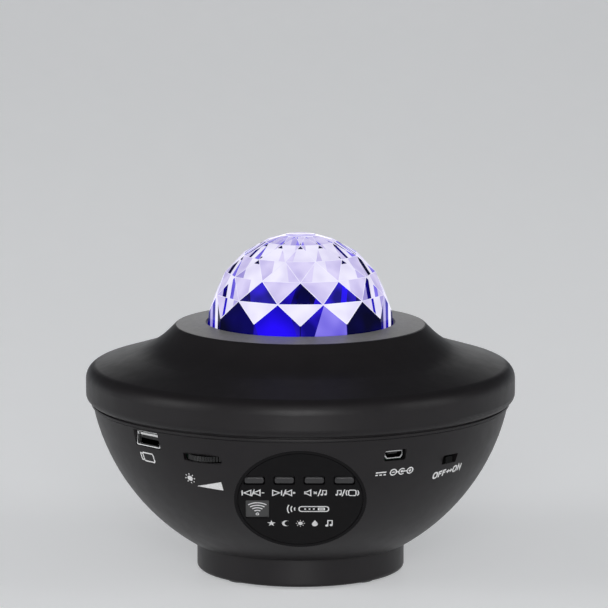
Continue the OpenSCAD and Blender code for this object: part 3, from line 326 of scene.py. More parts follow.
def paper(name, colour):
    """Pressed paper with fibres."""
    make = Maker(name)
    make.mottle(colour, spread=0.3, size=mm(1.2), detail=5)
    make.uneven(make.noise(mm(1), 4), 0.75, 0.95)
    make.bump(make.noise(mm(0.8), 5, scale=(1, 1, 0.3)), strength=0.6, depth=mm(0.05))
    return make.material


def ink(name, colour):
    """Printed ink with a slightly broken cover."""
    make = Maker(name)
    make.mottle(colour, spread=0.12, size=mm(0.5), detail=4)
    make.uneven(make.noise(mm(0.6)), 0.5, 0.65)
    make.bump(make.noise(mm(0.2)), strength=0.3, depth=mm(0.01))
    return make.material


def lit_facet(name, deep, bright, base, size, coat, specular):
    """A lit facet of the dome: light of two shades that melt into each other, under a polished face."""
    make = Maker(name)
    glow = make.ramp(make.noise(size, 1), (0.35, (*deep, 1)), (0.65, (*bright, 1)))
    make.mottle(base, spread=0.2, size=mm(8))
    make.uneven(make.noise(mm(6)), 0.05, 0.1)
    make.set(Emission_Color=glow, Emission_Strength=1.0, Specular_IOR_Level=specular)
    make.set(Coat_Weight=coat, Coat_Roughness=0.03)
    return make.material


def node_materials():
    """The material of each slot of the record."""
    charcoal = grey(0.0115, (1.04, 0.9, 1))
    panel_black = grey(0.005, (1, 0.9, 1.02))
    steel = grey(0.66, (0.98, 0.99, 1))
    ivory = (0.83, 0.83, 0.79, 1)
    green_mask = (0.006, 0.045, 0.025, 1)
    green_track = (0.015, 0.09, 0.05, 1)
    # Painted light: the level faces that look up, above all the collar's top, get a lighter grey over the
    # charcoal that stands in for the light they catch
    painted_top_light_grey = grey(0.26, (1.02, 1, 0.96))
    painted_top_light = dict(coords="Normal", direction=UP, start=0.967, full=0.985, colour=painted_top_light_grey, specks=mm(1.6))
    return {
        "housing_plastic": moulded("housing_plastic", charcoal, specular=0.3),
        # The cover carries the painted light on its upward-facing level faces
        "cover_plastic": moulded("cover_plastic", charcoal, specular=0.28, over=painted_top_light),
        "foot_rubber": rubber("foot_rubber", grey(0.02)),
        "screw_steel": metal("screw_steel", steel),
        "clear_dome": clear("clear_dome", (0.8, 0.88, 1, 1)),
        "white_deck": polished("white_deck", grey(0.8), rough=0.2),
        "inner_plastic": moulded("inner_plastic", grey(0.028), rough=0.5),
        "gear_plastic": moulded("gear_plastic", ivory, rough=0.35, grain=mm(0.6), spread=0.03),
        "tinted_lens": clear("tinted_lens", (0.55, 0.7, 1, 1), glow=0.2),
        "motor_can": metal("motor_can", grey(0.56), rough=0.3),
        "laser_brass": metal("laser_brass", (0.78, 0.57, 0.24, 1), rough=0.25),
        "grating_film": clear("grating_film", (0.6, 0.9, 0.75, 1)),
        "led_board": circuit("led_board", mask=grey(0.78), track=grey(0.6)),
        "led_lens": clear("led_lens", (1, 0.95, 0.7, 1), glow=1.0),
        "clear_lens": clear("clear_lens", (0.93, 0.96, 1, 1)),
        "heat_sink": metal("heat_sink", grey(0.6), rough=0.35, brush=(14, 1, 1)),
        "panel_gloss": polished("panel_gloss", panel_black, rough=0.45, coat=0, specular=0.11),
        "smoked_window": polished("smoked_window", grey(0.055), rough=0.3, coat=0.1),
        "button_plastic": moulded("button_plastic", grey(0.045, (1, 0.98, 1.03)), rough=0.4),
        "circuit_board": circuit("circuit_board", mask=green_mask, track=green_track),
        "black_component": moulded("black_component", grey(0.015), rough=0.45),
        "socket_shell": metal("socket_shell", steel, rough=0.3),
        "socket_insert": moulded("socket_insert", grey(0.008), rough=0.45),
        "knob_plastic": moulded("knob_plastic", grey(0.002), rough=0.5, specular=0.1),
        "wheel_plastic": moulded("wheel_plastic", grey(0.01), rough=0.4),
        "basket_steel": moulded("basket_steel", grey(0.04), rough=0.4),
        "magnet": metal("magnet", grey(0.2), rough=0.5),
        "surround_rubber": rubber("surround_rubber", grey(0.014)),
        "cone_paper": paper("cone_paper", grey(0.07)),
        "foam_gasket": rubber("foam_gasket", grey(0.022), rough=0.85),
    }


def socket_metal_with_painted_shade(node, azimuth, lip, bright, dim):
    """A socket's shell: bright at its mouth as far in as the lip, and painted shade, near black, behind it.
    """
    out = outward(azimuth)
    mouth = reach(node, out) - lip
    over = dict(coords="Object", direction=out, start=mouth - mm(0.1), full=mouth,
                colour=bright, specks=mm(2))
    return metal(node, dim, rough=0.34, over=over)


def own_looks():
    """Materials of single nodes, which go before their slots' materials."""
    top = reach("usb_a_insert", UP)
    # Painted highlight: a pale band along the top of the black insert stands in for the light on its front
    # edge
    painted_edge_highlight = dict(coords="Object", direction=UP, start=top - mm(0.8), full=top - mm(0.7),
                    colour=grey(0.75), specks=mm(2))
    return {
        # The USB-A shell's mouth is paler than steel as a painted highlight on its lit edges, and both shells
        # are painted shade behind the lip
        "usb_a_shell": socket_metal_with_painted_shade("usb_a_shell", USB_AZIMUTH, mm(1.9), grey(0.9), grey(0.01)),
        "micro_usb_shell": socket_metal_with_painted_shade("micro_usb_shell", INLET_AZIMUTH, mm(0.5), grey(0.5), grey(0.02)),
        # The black insert with the painted highlight along its top
        "usb_a_insert": moulded("usb_a_insert", grey(0.006), rough=0.45, over=painted_edge_highlight),
        "switch_body": metal("switch_body", grey(0.06), rough=0.4),
    }


def paint_nodes(materials):
    looks = own_looks()
    for subpart in frame["record"]["subparts"]:
        node = subpart["node"]
        mesh = NODES[node].data
        mesh.materials.clear()
        mesh.materials.append(looks.get(node) or materials[subpart["material_slot"]])


# ---- Pieces

# Points of a mesh that lie closer than this are one, in millimetres
WELD = 0.002


def mesh_piece(name, built, materials, body="housing"):
    """Makes an object of a bmesh and sets what it rides on."""
    bmesh.ops.recalc_face_normals(built, faces=built.faces)
    mesh = bpy.data.meshes.new(name)
    built.to_mesh(mesh)
    built.free()
    for material in materials:
        mesh.materials.append(material)
    piece = placed(name, mesh)
    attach(piece, body)
    return piece


def join_rings(built, low, high):
    """Quads between two rings of as many corners."""
    for i in range(len(low)):
        j = (i + 1) % len(low)
        built.faces.new([low[i], low[j], high[j], high[i]])


# ---- Lit dome

# Each tone's deep and bright light, the colour under them, the size of their blotches in millimetres, the
# weight of the coat and the specular level
DARK = (0.003, 0.003, 0.008)
DOME_TONES = {
    "navy": ((0, 0, 0.015), (0.001, 0, 0.09), DARK, 14, 0, 0.03),
    "deep": ((0.001, 0, 0.03), (0.004, 0.0005, 0.26), DARK, 7, 0, 0.03),
    "royal": ((0.003, 0.0005, 0.2), (0.02, 0.006, 0.62), DARK, 8, 0, 0.05),
    "blue": ((0.006, 0.0005, 0.5), (0.016, 0.001, 0.97), DARK, 16, 0, 0.05),
    "violet": ((0.1, 0.07, 0.66), (0.27, 0.22, 0.88), (0.02, 0.02, 0.04), 12, 0.3, 0.15),
    "lilac": ((0.3, 0.26, 0.62), (0.5, 0.45, 0.8), (0.06, 0.05, 0.09), 8, 0.1, 0.15),
    "lavender": ((0.5, 0.45, 0.74), (0.66, 0.61, 0.86), (0.1, 0.09, 0.14), 7, 0.3, 0.15),
    "white": ((0.68, 0.65, 0.84), (0.82, 0.8, 0.94), (0.1, 0.09, 0.13), 9, 0.12, 0.15),
    "edge": ((0.7, 0.68, 0.86), (0.86, 0.85, 0.98), (0.13, 0.12, 0.16), 5, 0.3, 0.15),
    "crown": ((0.5, 0.45, 0.72), (0.72, 0.68, 0.9), (0.06, 0.05, 0.09), 5, 0, 0),
}
TONE = {name: index for index, name in enumerate(DOME_TONES)}

# The side of a facet is the angle, up to 90 degrees, by which it faces away from the front or the back
ANY = NEVER = 91

# A facet's bands of tone from its left to its right, each with the share of the width where it ends. A row
# holds for sides below its first number. Where it has two lists, the first is for the facets at the left.
HOUSE = [
    (30, [(0.12, "royal"), (0.88, "blue"), (1, "royal")], [(0.33, "royal"), (1, "violet")]),
    (60, [(1, "navy")]),
    (ANY, [(0.22, "deep"), (0.4, "lilac"), (0.6, "royal"), (0.8, "white"), (1, "navy")]),
]
SKIRT = [
    (45, [(1, "white")]),
    (ANY, [(0.4, "lavender"), (0.5, "royal"), (0.8, "white"), (1, "lilac")]),
]
SPIRE = [
    (15, [(0.28, "royal"), (0.4, "deep"), (0.66, "navy"), (0.8, "deep"), (1, "royal")]),
    (45, [(0.3, "deep"), (1, "royal")], [(0.45, "royal"), (0.6, "blue"), (0.85, "royal"), (1, "deep")]),
    (ANY, [(0.25, "lilac"), (0.42, "deep"), (0.6, "white"), (0.75, "violet"), (1, "lavender")]),
]
SHOULDER = [
    (20, [(1, "lavender")]),
    (ANY, [(0.6, "lavender"), (1, "white")], [(0.35, "white"), (1, "lavender")]),
]
PANE = [
    (20, [(0.7, "white"), (1, "lavender")], [(0.3, "lavender"), (1, "white")]),
    (50, [(0.3, "lilac"), (1, "white")], [(0.7, "white"), (1, "lilac")]),
    (ANY, [(0.25, "lavender"), (0.5, "navy"), (0.7, "white"), (1, "violet")]),
]
CROWN = [
    (60, [(0.75, "white"), (1, "lavender")], [(0.25, "lavender"), (1, "white")]),
    (ANY, [(0.3, "lavender"), (0.45, "deep"), (0.7, "white"), (1, "violet")]),
]
TIP = [(ANY, [(0.45, "lavender"), (0.75, "lilac"), (1, "violet")], [(0.2, "violet"), (1, "lavender")])]
TOP = [(ANY, [(0.2, "crown"), (0.35, "violet"), (0.7, "crown"), (0.8, "royal"), (1, "crown")])]

# From the second of DOME_RINGS up: the bands of the facets that stand on the ring, and those of the facets
# that hang from the next, each with the side from which they have a glint
UPPER_ROWS = [
    (SPIRE, NEVER, SHOULDER, NEVER),
    (PANE, 40, SHOULDER, NEVER),
    (CROWN, 0, CROWN, 40),
    (TIP, NEVER, TIP, 0),
]

FACET_RIM = mm(0.1)
GLINT = mm(1.9)
BAND_LEAN = 0.35
# The right edge, the left edge and the foot of a five-sided facet
DARK_EDGES = (0, 3, 4)
SHELL_AROUND = 48
SHELL_UP = 12


def ring_points(radius, z, half=0, count=DOME_COUNT):
    """A ring round the axis. Point 0 lies at azimuth 0, and half is 0.5 on the dome's rings between."""
    step = math.tau / count
    turns = [(i + half) * step for i in range(count)]
    return [Vector((radius * math.sin(a), -radius * math.cos(a), z)) for a in turns]


def dome_levels():
    """The dome's rings of corners, from its foot on the flange up to its crown, and its centre's height."""
    low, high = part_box("dome_lens")
    centre_z = high.z - DOME_R * math.sin(math.radians(DOME_RINGS[-1]))
    foot_z = low.z + DOME_FLANGE_T
    rise = [math.radians(e) for e in DOME_RINGS]
    radii = [DOME_R * math.cos(e) for e in rise]
    heights = [centre_z + DOME_R * math.sin(e) for e in rise]
    middle = radii[0] * math.cos(math.pi / DOME_COUNT)
    slope = (middle - radii[1]) / (heights[1] - heights[0])
    foot_r = (middle + slope * (heights[0] - foot_z)) / math.cos(math.pi / DOME_COUNT)
    levels = [ring_points(foot_r, foot_z)]
    levels += [ring_points(r, z, k % 2 / 2) for k, (r, z) in enumerate(zip(radii, heights))]
    return levels, centre_z


def dome_facets(levels):
    """The facets as (corners, rows of bands, glint_from, glint_at), each ring turned by half a facet.

    A facet has a dark glint in its corner glint_at if its side is glint_from or more.
    """
    base, first, second = levels[:3]
    found = []
    for i in range(DOME_COUNT):
        j = (i + 1) % DOME_COUNT
        found.append(([base[j], first[j], second[i], first[i], base[i]], HOUSE, NEVER, 2))
        found.append(([first[j], second[j], second[i]], SKIRT, NEVER, 0))
    for row, (standing, tip_glint, hanging, foot_glint) in enumerate(UPPER_ROWS, 2):
        under, over = levels[row], levels[row + 1]
        for i in range(DOME_COUNT):
            j = (i + 1) % DOME_COUNT
            tip, foot = (j, i) if row % 2 == 0 else (i, j)
            found.append(([under[i], under[j], over[tip]], standing, tip_glint, 2))
            found.append(([under[foot], over[j], over[i]], hanging, foot_glint, 0))
    found.append((levels[-1], TOP, NEVER, 0))
    return found


def cut_faces(built, faces, point, normal):
    """Cuts the faces along a plane, and gives the faces that they have become."""
    parts = set(faces)
    for face in faces:
        parts.update(face.edges)
        parts.update(face.verts)
    made = bmesh.ops.bisect_plane(built, geom=list(parts), plane_co=point, plane_no=normal, dist=mm(WELD / 4))
    return [g for g in made["geom"] if isinstance(g, bmesh.types.BMFace)]


def add_facet(built, corners, rows, glint_from, glint_at):
    """A facet with bands of tone, inside a narrow rim where its cut edges catch the light.

    The upright edges and the foot of a five-sided facet stay dark.
    """
    centre = sum(corners, Vector()) / len(corners)
    share = FACET_RIM / min((c - centre).length for c in corners) * 2
    outer = [built.verts.new(c) for c in corners]
    inner = [built.verts.new(c.lerp(centre, share)) for c in corners]
    faces = [built.faces.new(inner)]
    for k in range(len(corners)):
        n = (k + 1) % len(corners)
        rim = built.faces.new([outer[k], outer[n], inner[n], inner[k]])
        rim.material_index = TONE["deep" if len(corners) == 5 and k in DARK_EDGES else "edge"]
    azimuth = math.degrees(math.atan2(centre.x, -centre.y))
    at_left = azimuth < 0
    side = min(abs(azimuth), 180 - abs(azimuth))
    row = next(row for row in rows if side < row[0])
    bands = row[1] if at_left else row[-1]
    along = Vector((-centre.y, centre.x, 0)).normalized()
    across = (along + Vector((0, 0, BAND_LEAN if at_left else -BAND_LEAN))).normalized()
    spread = [c.co.dot(across) for c in inner]
    low, width = min(spread), max(spread) - min(spread)
    for end, _ in bands[:-1]:
        faces = cut_faces(built, faces, across * (low + end * width), across)
    for face in faces:
        place = (face.calc_center_median().dot(across) - low) / width
        face.material_index = TONE[next(tone for end, tone in bands if place <= end or end == 1)]
    if side >= glint_from:
        corner = corners[glint_at]
        inward = (centre - corner).normalized()
        for face in cut_faces(built, faces, corner + inward * GLINT, inward):
            if (face.calc_center_median() - corner).dot(inward) < GLINT:
                face.material_index = TONE["navy"]


def add_inner_shell(built, centre_z, bottom_z, foot_z):
    """The dome's smooth inside with the flange round it. Gives the points of the flange's upper rim."""
    profile = [(DOME_FLANGE_R, foot_z), (DOME_FLANGE_R, bottom_z)]
    profile += [(DOME_INNER_R, bottom_z), (DOME_INNER_R, centre_z)]
    for k in range(1, SHELL_UP):
        rise = k / SHELL_UP * math.pi / 2
        profile.append((DOME_INNER_R * math.cos(rise), centre_z + DOME_INNER_R * math.sin(rise)))
    rows = [[built.verts.new(p) for p in ring_points(r, z, count=SHELL_AROUND)] for r, z in profile]
    for low, high in zip(rows, rows[1:]):
        join_rings(built, low, high)
    crown = built.verts.new((0, 0, centre_z + DOME_INNER_R))
    for i in range(SHELL_AROUND):
        built.faces.new([rows[-1][i], rows[-1][(i + 1) % SHELL_AROUND], crown])
    return rows[0]


def add_flange_top(built, rim, foot):
    """The flange's upper face, between its round rim and the dome's foot, which has fewer corners."""
    per = len(rim) // len(foot)
    for i in range(len(foot)):
        j = (i + 1) % len(foot)
        run = [rim[(i * per + k) % len(rim)] for k in range(per + 1)]
        fan = [[run[k], run[k + 1], foot[i] if k < per / 2 else foot[j]] for k in range(per)]
        for corners in fan + [[foot[i], run[per // 2], foot[j]]]:
            built.faces.new(corners).material_index = TONE["white"]


def make_dome():
    levels, centre_z = dome_levels()
    bottom_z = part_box("dome_lens")[0].z
    built = bmesh.new()
    for facet in dome_facets(levels):
        add_facet(built, *facet)
    bmesh.ops.remove_doubles(built, verts=built.verts, dist=mm(WELD))
    rim = add_inner_shell(built, centre_z, bottom_z, bottom_z + DOME_FLANGE_T)
    foot = [min(built.verts, key=lambda v: (v.co - p).length) for p in levels[0]]
    add_flange_top(built, rim, foot)
    tones = []
    for name, (deep, bright, base, size, coat, specular) in DOME_TONES.items():
        tones.append(lit_facet(f"dome_{name}", deep, bright, base, mm(size), coat, specular))
    dome = mesh_piece("lit_dome", built, tones)
    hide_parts("dome_lens")


# ---- Sketches: outlines are lists of (u, v) points, and shapes are lists of flat faces

THIN = 0.45
THICK = 0.66
MITRE_LIMIT = 0.4
CORNER_TURNS = (0, 22.5, 45, 67.5, 90)
LINE_CORNER_TURNS = (0, 30, 60, 90)


def turn(r, degrees, u=0, v=0):
    """The point at that radius and angle from (u, v)."""
    return (u + r * math.cos(math.radians(degrees)), v + r * math.sin(math.radians(degrees)))


def round_loop(u, v, r, count=24):
    return [turn(r, 360 * i / count, u, v) for i in range(count)]


def rounded(u, v, w, h, r, turns=CORNER_TURNS):
    """The outline of a rectangle with rounded corners, round (u, v)."""
    quarters = [(1, 1), (-1, 1), (-1, -1), (1, -1)]
    return [turn(r, 90 * k + a, u + su * (w / 2 - r), v + sv * (h / 2 - r))
            for k, (su, sv) in enumerate(quarters) for a in turns]


def filled(*points):
    """A filled outline, as triangles."""
    flat = [Vector((u, v, 0)) for u, v in points]
    return [[points[i] for i in triangle] for triangle in tessellate_polygon([flat])]


def disc(u, v, r, count=20):
    rim = round_loop(u, v, r, count)
    return [[(u, v), a, b] for a, b in zip(rim, rim[1:] + rim[:1])]


def line(points, width=THIN, closed=False):
    """A line with mitred corners, as quads."""
    count = len(points)
    sides = []
    for i, (u, v) in enumerate(points):
        before = points[i - 1] if i or closed else None
        after = points[(i + 1) % count] if i < count - 1 or closed else None
        ways = [Vector(b) - Vector(a) for a, b in ((before, (u, v)), ((u, v), after)) if a and b]
        ways = [w.normalized() for w in ways]
        mean = sum(ways, Vector((0, 0))).normalized()
        normal = Vector((-mean.y, mean.x))
        half = width / 2 / max(MITRE_LIMIT, normal.dot(Vector((-ways[0].y, ways[0].x))))
        sides.append(((u + normal.x * half, v + normal.y * half), (u - normal.x * half, v - normal.y * half)))
    pairs = list(zip(sides, sides[1:])) + ([(sides[-1], sides[0])] if closed else [])
    return [[a[0], b[0], b[1], a[1]] for a, b in pairs]


def arc(u, v, r, start, end, width=THIN, count=12):
    return line([turn(r, start + (end - start) * i / count, u, v) for i in range(count + 1)], width)


def circle(u, v, r, width=THIN, count=28):
    return line(round_loop(u, v, r, count), width, closed=True)


def box_line(u, v, w, h, r=0, width=THIN):
    """The line of a rectangle round (u, v), with rounded corners where r isn't 0."""
    turns = LINE_CORNER_TURNS if r else (0,)
    return line(rounded(u, v, w, h, r, turns), width, closed=True)


def moved(shape, right, scale=1.0):
    return [[(u * scale + right, v * scale) for u, v in face] for face in shape]


def flipped(shape):
    return [[(-u, v) for u, v in face] for face in shape]


def row_of(*marks):
    """Marks in a row as one shape, each a (shape, place to the right) pair."""
    return [face for shape, right in marks for face in moved(shape, right)]


# ---- Pictograms

LETTER_H = 2.5
LETTER_W = 1.9
FUNCTION_PITCH = 5.4


def sun_mark():
    rays = []
    for i in range(8):
        rays += line([turn(1.65, 45 * i), turn(2.2, 45 * i)], 0.36)
    return disc(0, 0, 1.15) + rays


def stick_mark():
    """A memory stick lying on its side."""
    plug = line([(-1.9, 1.1), (-2.9, 1.1), (-2.9, -1.1), (-1.9, -1.1)])
    return box_line(0.6, 0, 4.8, 2.9, 0.5) + plug


def direct_current_mark():
    dashes = []
    for u in (-1.6, 0, 1.6):
        dashes += line([(u - 0.5, -0.55), (u + 0.5, -0.55)], 0.5)
    return line([(-2.1, 0.55), (2.1, 0.55)], 0.5) + dashes


def polarity_mark():
    """Centre-positive plug: minus ring to the left, plus centre to the right."""
    left = circle(-3.6, 0, 1.25) + line([(-4.2, 0), (-3.0, 0)])
    right = circle(3.6, 0, 1.25) + line([(3.0, 0), (4.2, 0)]) + line([(3.6, -0.6), (3.6, 0.6)])
    middle = arc(0, 0, 1.25, 40, 320, count=18) + disc(0, 0, 0.5)
    return left + right + middle + line([(-2.35, 0), (-1.25, 0)]) + line([(0.5, 0), (2.35, 0)])


def letter_o():
    return box_line(0, 0, LETTER_W, LETTER_H, 0.85, THICK)


def letter_f():
    left, top = -LETTER_W / 2 + 0.3, LETTER_H / 2
    stem = line([(left, -top - 0.1), (left, top + 0.1)], THICK)
    arm = line([(left, top - 0.15), (left + 1.4, top - 0.15)], THICK)
    return stem + arm + line([(left, 0.1), (left + 1.2, 0.1)], THICK)


def letter_n():
    half, top = LETTER_W / 2 - 0.15, LETTER_H / 2 + 0.1
    return line([(-half, -top), (-half, top), (half, -top), (half, top)], THICK)


def double_arrow():
    heads = filled((-1.8, 0), (-0.6, -0.95), (-0.6, 0.95)) + filled((1.8, 0), (0.6, 0.95), (0.6, -0.95))
    return heads + line([(-0.8, 0), (0.8, 0)], 0.7)


def off_on_mark():
    off = row_of((letter_o(), -6.6), (letter_f(), -4.1), (letter_f(), -2.0))
    return off + row_of((double_arrow(), 0.8), (letter_o(), 3.9), (letter_n(), 6.6))


def triangle_mark():
    """An outlined triangle that points to the right."""
    back, half, point = -2.7 * 0.45, 2.7 / 2, 2.7 * 0.5
    return line([(back, -half), (point, 0), (back, half)], closed=True)


def speaker_mark():
    horn = [(0.9, -1.45), (0.9, 1.45), (-0.7, 0.45)]
    return line(horn + [(-1.3, 0.45), (-1.3, -0.45), (-0.7, -0.45)], closed=True)


def slash_mark():
    return line([(-0.5, -1.7), (0.5, 1.7)])


def bar_mark():
    return line([(0, -1.3), (0, 1.3)])


def note_mark():
    stems = line([(-0.6, -1.2), (-0.6, 1.5), (1.1, 1.5), (1.1, -0.9)])
    return disc(-1.0, -1.2, 0.6, 12) + disc(0.7, -0.95, 0.6, 12) + stems


def pulsing_mark():
    """A box between two waves."""
    waves = arc(2.6, 0, 2.3, -35, 35, count=6) + arc(2.6, 0, 2.3, 145, 215, count=6)
    return box_line(2.6, 0, 2.7, 2.8, 0.6) + waves


def star_mark():
    return filled(*[turn(1.6 if i % 2 == 0 else 0.62, 90 + 36 * i) for i in range(10)])


def moon_mark(r=1.45):
    outer = [turn(r, a) for a in range(60, 301, 20)]
    inner = [turn(r * 0.9, a, r * 0.55, 0) for a in range(284, 75, -16)]
    return filled(*(outer + inner))


def drop_mark():
    """A drop, with its point up."""
    return filled(*[turn(1.1, a, 0, -0.4) for a in range(150, 391, 20)], (0, 1.7))


def remote_mark():
    """A remote control lying on its side, with its waves to the left."""
    shape = box_line(3.2, 0, 11, 2.5, 1)
    for u in (0, 1.6, 3.2):
        shape += disc(u, 0, 0.36, 12)
    shape += box_line(6, 0, 2.2, 0.9)
    for r in (1.6, 2.9, 4.2):
        shape += arc(-2.4, 0, r, 150, 210, count=6)
    return shape


def receiver_mark():
    """Waves that come down on the receiver's dot."""
    foot = -2.8
    waves = circle(0, foot, 0.5, 0.4, 16)
    for r in (1.9, 3.2, 4.5, 5.8):
        waves += arc(0, foot, r, 54, 126, 0.46)
    return waves


def button_marks():
    """The pictograms under the four buttons."""
    back = row_of((flipped(triangle_mark()), -1.6), (bar_mark(), -3.6))
    forward = row_of((triangle_mark(), -2.6), (bar_mark(), -0.5))
    minus = line([(3.6, 0), (4.6, 0)])
    plus = minus + line([(4.1, -0.5), (4.1, 0.5)])
    cross = line([(1.0, -0.55), (2.1, 0.55)]) + line([(1.0, 0.55), (2.1, -0.55)])
    note = moved(note_mark(), 0, 0.8)
    return [
        moved(back + row_of((slash_mark(), 0.4), (speaker_mark(), 2.1), (minus, 0)), -0.9),
        moved(forward + row_of((slash_mark(), 0.6), (speaker_mark(), 2.3), (plus, 0)), -0.5),
        row_of((speaker_mark(), -2.2), (cross, -1.2), (slash_mark(), 1.9), (note, 3.6)),
        row_of((note, -2.0), (slash_mark(), -0.3), (pulsing_mark(), 0.4)),
    ]


def function_marks():
    """What the projector does: stars, moon, lamp, waves of water and sound."""
    row = [star_mark(), moon_mark(), moved(sun_mark(), 0, 0.75), drop_mark(), moved(note_mark(), 0, 0.95)]
    return row_of(*[(mark, (k - 2) * FUNCTION_PITCH) for k, mark in enumerate(row)])


# ---- Prints

PRINT_T = mm(0.07)
PRINT_SUNK = mm(0.03)
# The edges of a print are halved until none is longer than this, in millimetres, and at most that many times
PRINT_STEP = 1.2
PRINT_CUTS = 4
# The azimuth and the height in millimetres of each mark on the bowl, and how it slants in degrees
STICK_SPOT = (-48.3, 53.6)
SUN_SPOT = (-33.5, 47.8)
WEDGE_SPOT = (-27.4, 45.4)
CURRENT_SPOT = (23.2, 51.0)
POLARITY_SPOT = (29.8, 51.2)
SWITCH_SPOT = (48.0, 48.0, 7)
STICK_SCALE = 1.22
# On the panel, millimetres to the right and up from its centre
ICON_ROW = 3.4
FUNCTION_ROW = -12.3
REMOTE_SPOT = (1.8, -4.9)
WINDOW_ROW = -5.1
# How far the scene's faceplate stands out over the model's, and how far the window's face lies under it
FACE_UP = 0.36
WINDOW_SUNK = 0.1


def on_bowl(azimuth, z_mm, slant=0):
    """Puts (u, v) of a sketch and a lift from the surface on the bowl."""
    middle = math.asin((mm(z_mm) - BOWL_CENTRE.z) / BOWL_R)
    cos_s, sin_s = math.cos(math.radians(slant)), math.sin(math.radians(slant))

    def place(u, v, lift):
        right, up = u * cos_s - v * sin_s, u * sin_s + v * cos_s
        rise = middle + mm(up) / BOWL_R
        turned = math.radians(azimuth) + mm(right) / (BOWL_R * math.cos(middle))
        radius = BOWL_R + lift
        return BOWL_CENTRE + radius * Vector(
            (math.cos(rise) * math.sin(turned), -math.cos(rise) * math.cos(turned), math.sin(rise))
        )

    return place


def on_panel(x_mm, y_mm, up_mm=0):
    """The same on the flat panel, from its centre and the model's faceplate."""
    across = Vector((1, 0, 0))
    depth = FACE_D + mm(up_mm)

    def place(u, v, lift):
        return BOWL_CENTRE + mm(x_mm + u) * across + mm(y_mm + v) * PANEL_UP + (depth + lift) * PANEL_OUT

    return place


def middle_mm(node):
    """How far to the right of the axis a node's middle lies, in millimetres."""
    low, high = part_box(node)
    return (low.x + high.x) / 2 * 1000


def add_print(built, shape, place):
    """One mark as a thin closed sheet of ink that follows the surface under it."""
    flat = bmesh.new()
    for face in shape:
        flat.faces.new([flat.verts.new((u, v, 0)) for u, v in face])
    bmesh.ops.remove_doubles(flat, verts=flat.verts, dist=WELD)
    for _ in range(PRINT_CUTS):
        long = [e for e in flat.edges if e.calc_length() > PRINT_STEP]
        if not long:
            break
        bmesh.ops.subdivide_edges(flat, edges=long, cuts=1, use_grid_fill=True)
        bmesh.ops.triangulate(flat, faces=[f for f in flat.faces if len(f.verts) > 4])
    top, under = {}, {}
    for v in flat.verts:
        top[v] = built.verts.new(place(v.co.x, v.co.y, PRINT_T - PRINT_SUNK))
        under[v] = built.verts.new(place(v.co.x, v.co.y, -PRINT_SUNK))
    for f in flat.faces:
        built.faces.new([top[v] for v in f.verts])
        built.faces.new([under[v] for v in reversed(f.verts)])
    for e in flat.edges:
        if e.is_boundary:
            a, b = e.verts
            built.faces.new([top[a], top[b], under[b], under[a]])
    flat.free()


def print_piece(name, marks, material):
    """A piece of several marks, each a (shape, place) pair."""
    built = bmesh.new()
    for shape, place in marks:
        add_print(built, shape, place)
    mesh_piece(name, built, [material])


def make_bowl_prints(material):
    stick = (moved(stick_mark(), 0, STICK_SCALE), on_bowl(*STICK_SPOT))
    sun = (sun_mark(), on_bowl(*SUN_SPOT))
    wedge = (filled((-5.5, -0.6), (5.4, -1.4), (5.2, 2.4)), on_bowl(*WEDGE_SPOT))
    print_piece("light_marks", [stick, sun, wedge], material)
    supply = [(direct_current_mark(), on_bowl(*CURRENT_SPOT)), (polarity_mark(), on_bowl(*POLARITY_SPOT))]
    print_piece("supply_marks", supply, material)
    print_piece("switch_marks", [(off_on_mark(), on_bowl(*SWITCH_SPOT))], material)


def make_panel_prints(material):
    marks = [(shape, on_panel(middle_mm(node), ICON_ROW, FACE_UP))
             for node, shape in zip(BUTTONS.values(), button_marks())]
    marks.append((remote_mark(), on_panel(*REMOTE_SPOT, FACE_UP)))
    marks.append((function_marks(), on_panel(0, FUNCTION_ROW, FACE_UP)))
    print_piece("panel_marks", marks, material)
    window = on_panel(middle_mm("receiver_window"), WINDOW_ROW, -WINDOW_SUNK)
    print_piece("receiver_marks", [(receiver_mark(), window)], material)


# ---- Faceplate and button caps, with boxes as (width, height, corner) and lifts from the model's faceplate

FACEPLATE_R = 23.1
FACEPLATE_T = 1.2
FACEPLATE_SIDES = 96
EDGE_RING = (24.55, 23.35)
EDGE_RING_FOOT = 0.29
BUTTON_ROW = 9.3
# How far the caps and recesses stand above the middle of the buttons' stems
BUTTON_UP = 0.3
RECESS = (8, 4.4, 0.9)
WINDOW_H = 9
WINDOW_GAP = 0.1
WINDOW_CORNER = 0.4
STEM_R = 1.2
STEM_LIFTS = (-6.1, -4)
FLANGE = (8.8, 5.3, 2.4)
FLANGE_LIFTS = (-4.1, -3.1)
CAP = (7, 2.8, 0.8)
CAP_LIFTS = (-3.2, 0.25)
CAP_BEVEL = 0.15
CAP_TOP = 0.4
RIBS = 10
RIB_PITCH = 0.62
RIB_W = 0.3
RIB_SHORTER = 0.7
RIB_CORNER = 0.1
RIB_LIFTS = (0.35, 0.5)


def add_prism(built, loops, place, low, high):
    """A plate between two heights in millimetres, of an outline and the outlines of its holes."""
    points = [point for loop in loops for point in loop]
    top = [built.verts.new(place(u, v, mm(high))) for u, v in points]
    under = [built.verts.new(place(u, v, mm(low))) for u, v in points]
    for triangle in tessellate_polygon([[Vector((u, v, 0)) for u, v in loop] for loop in loops]):
        built.faces.new([top[i] for i in triangle])
        built.faces.new([under[i] for i in reversed(triangle)])
    start = 0
    for loop in loops:
        end = start + len(loop)
        join_rings(built, top[start:end], under[start:end])
        start = end


def add_loft(built, loops, place):
    """A form through (outline, lift) loops of as many points each, closed at both ends."""
    rings = [[built.verts.new(place(u, v, mm(lift))) for u, v in points] for points, lift in loops]
    for low, high in zip(rings, rings[1:]):
        join_rings(built, low, high)
    built.faces.new(rings[0])
    built.faces.new(rings[-1])


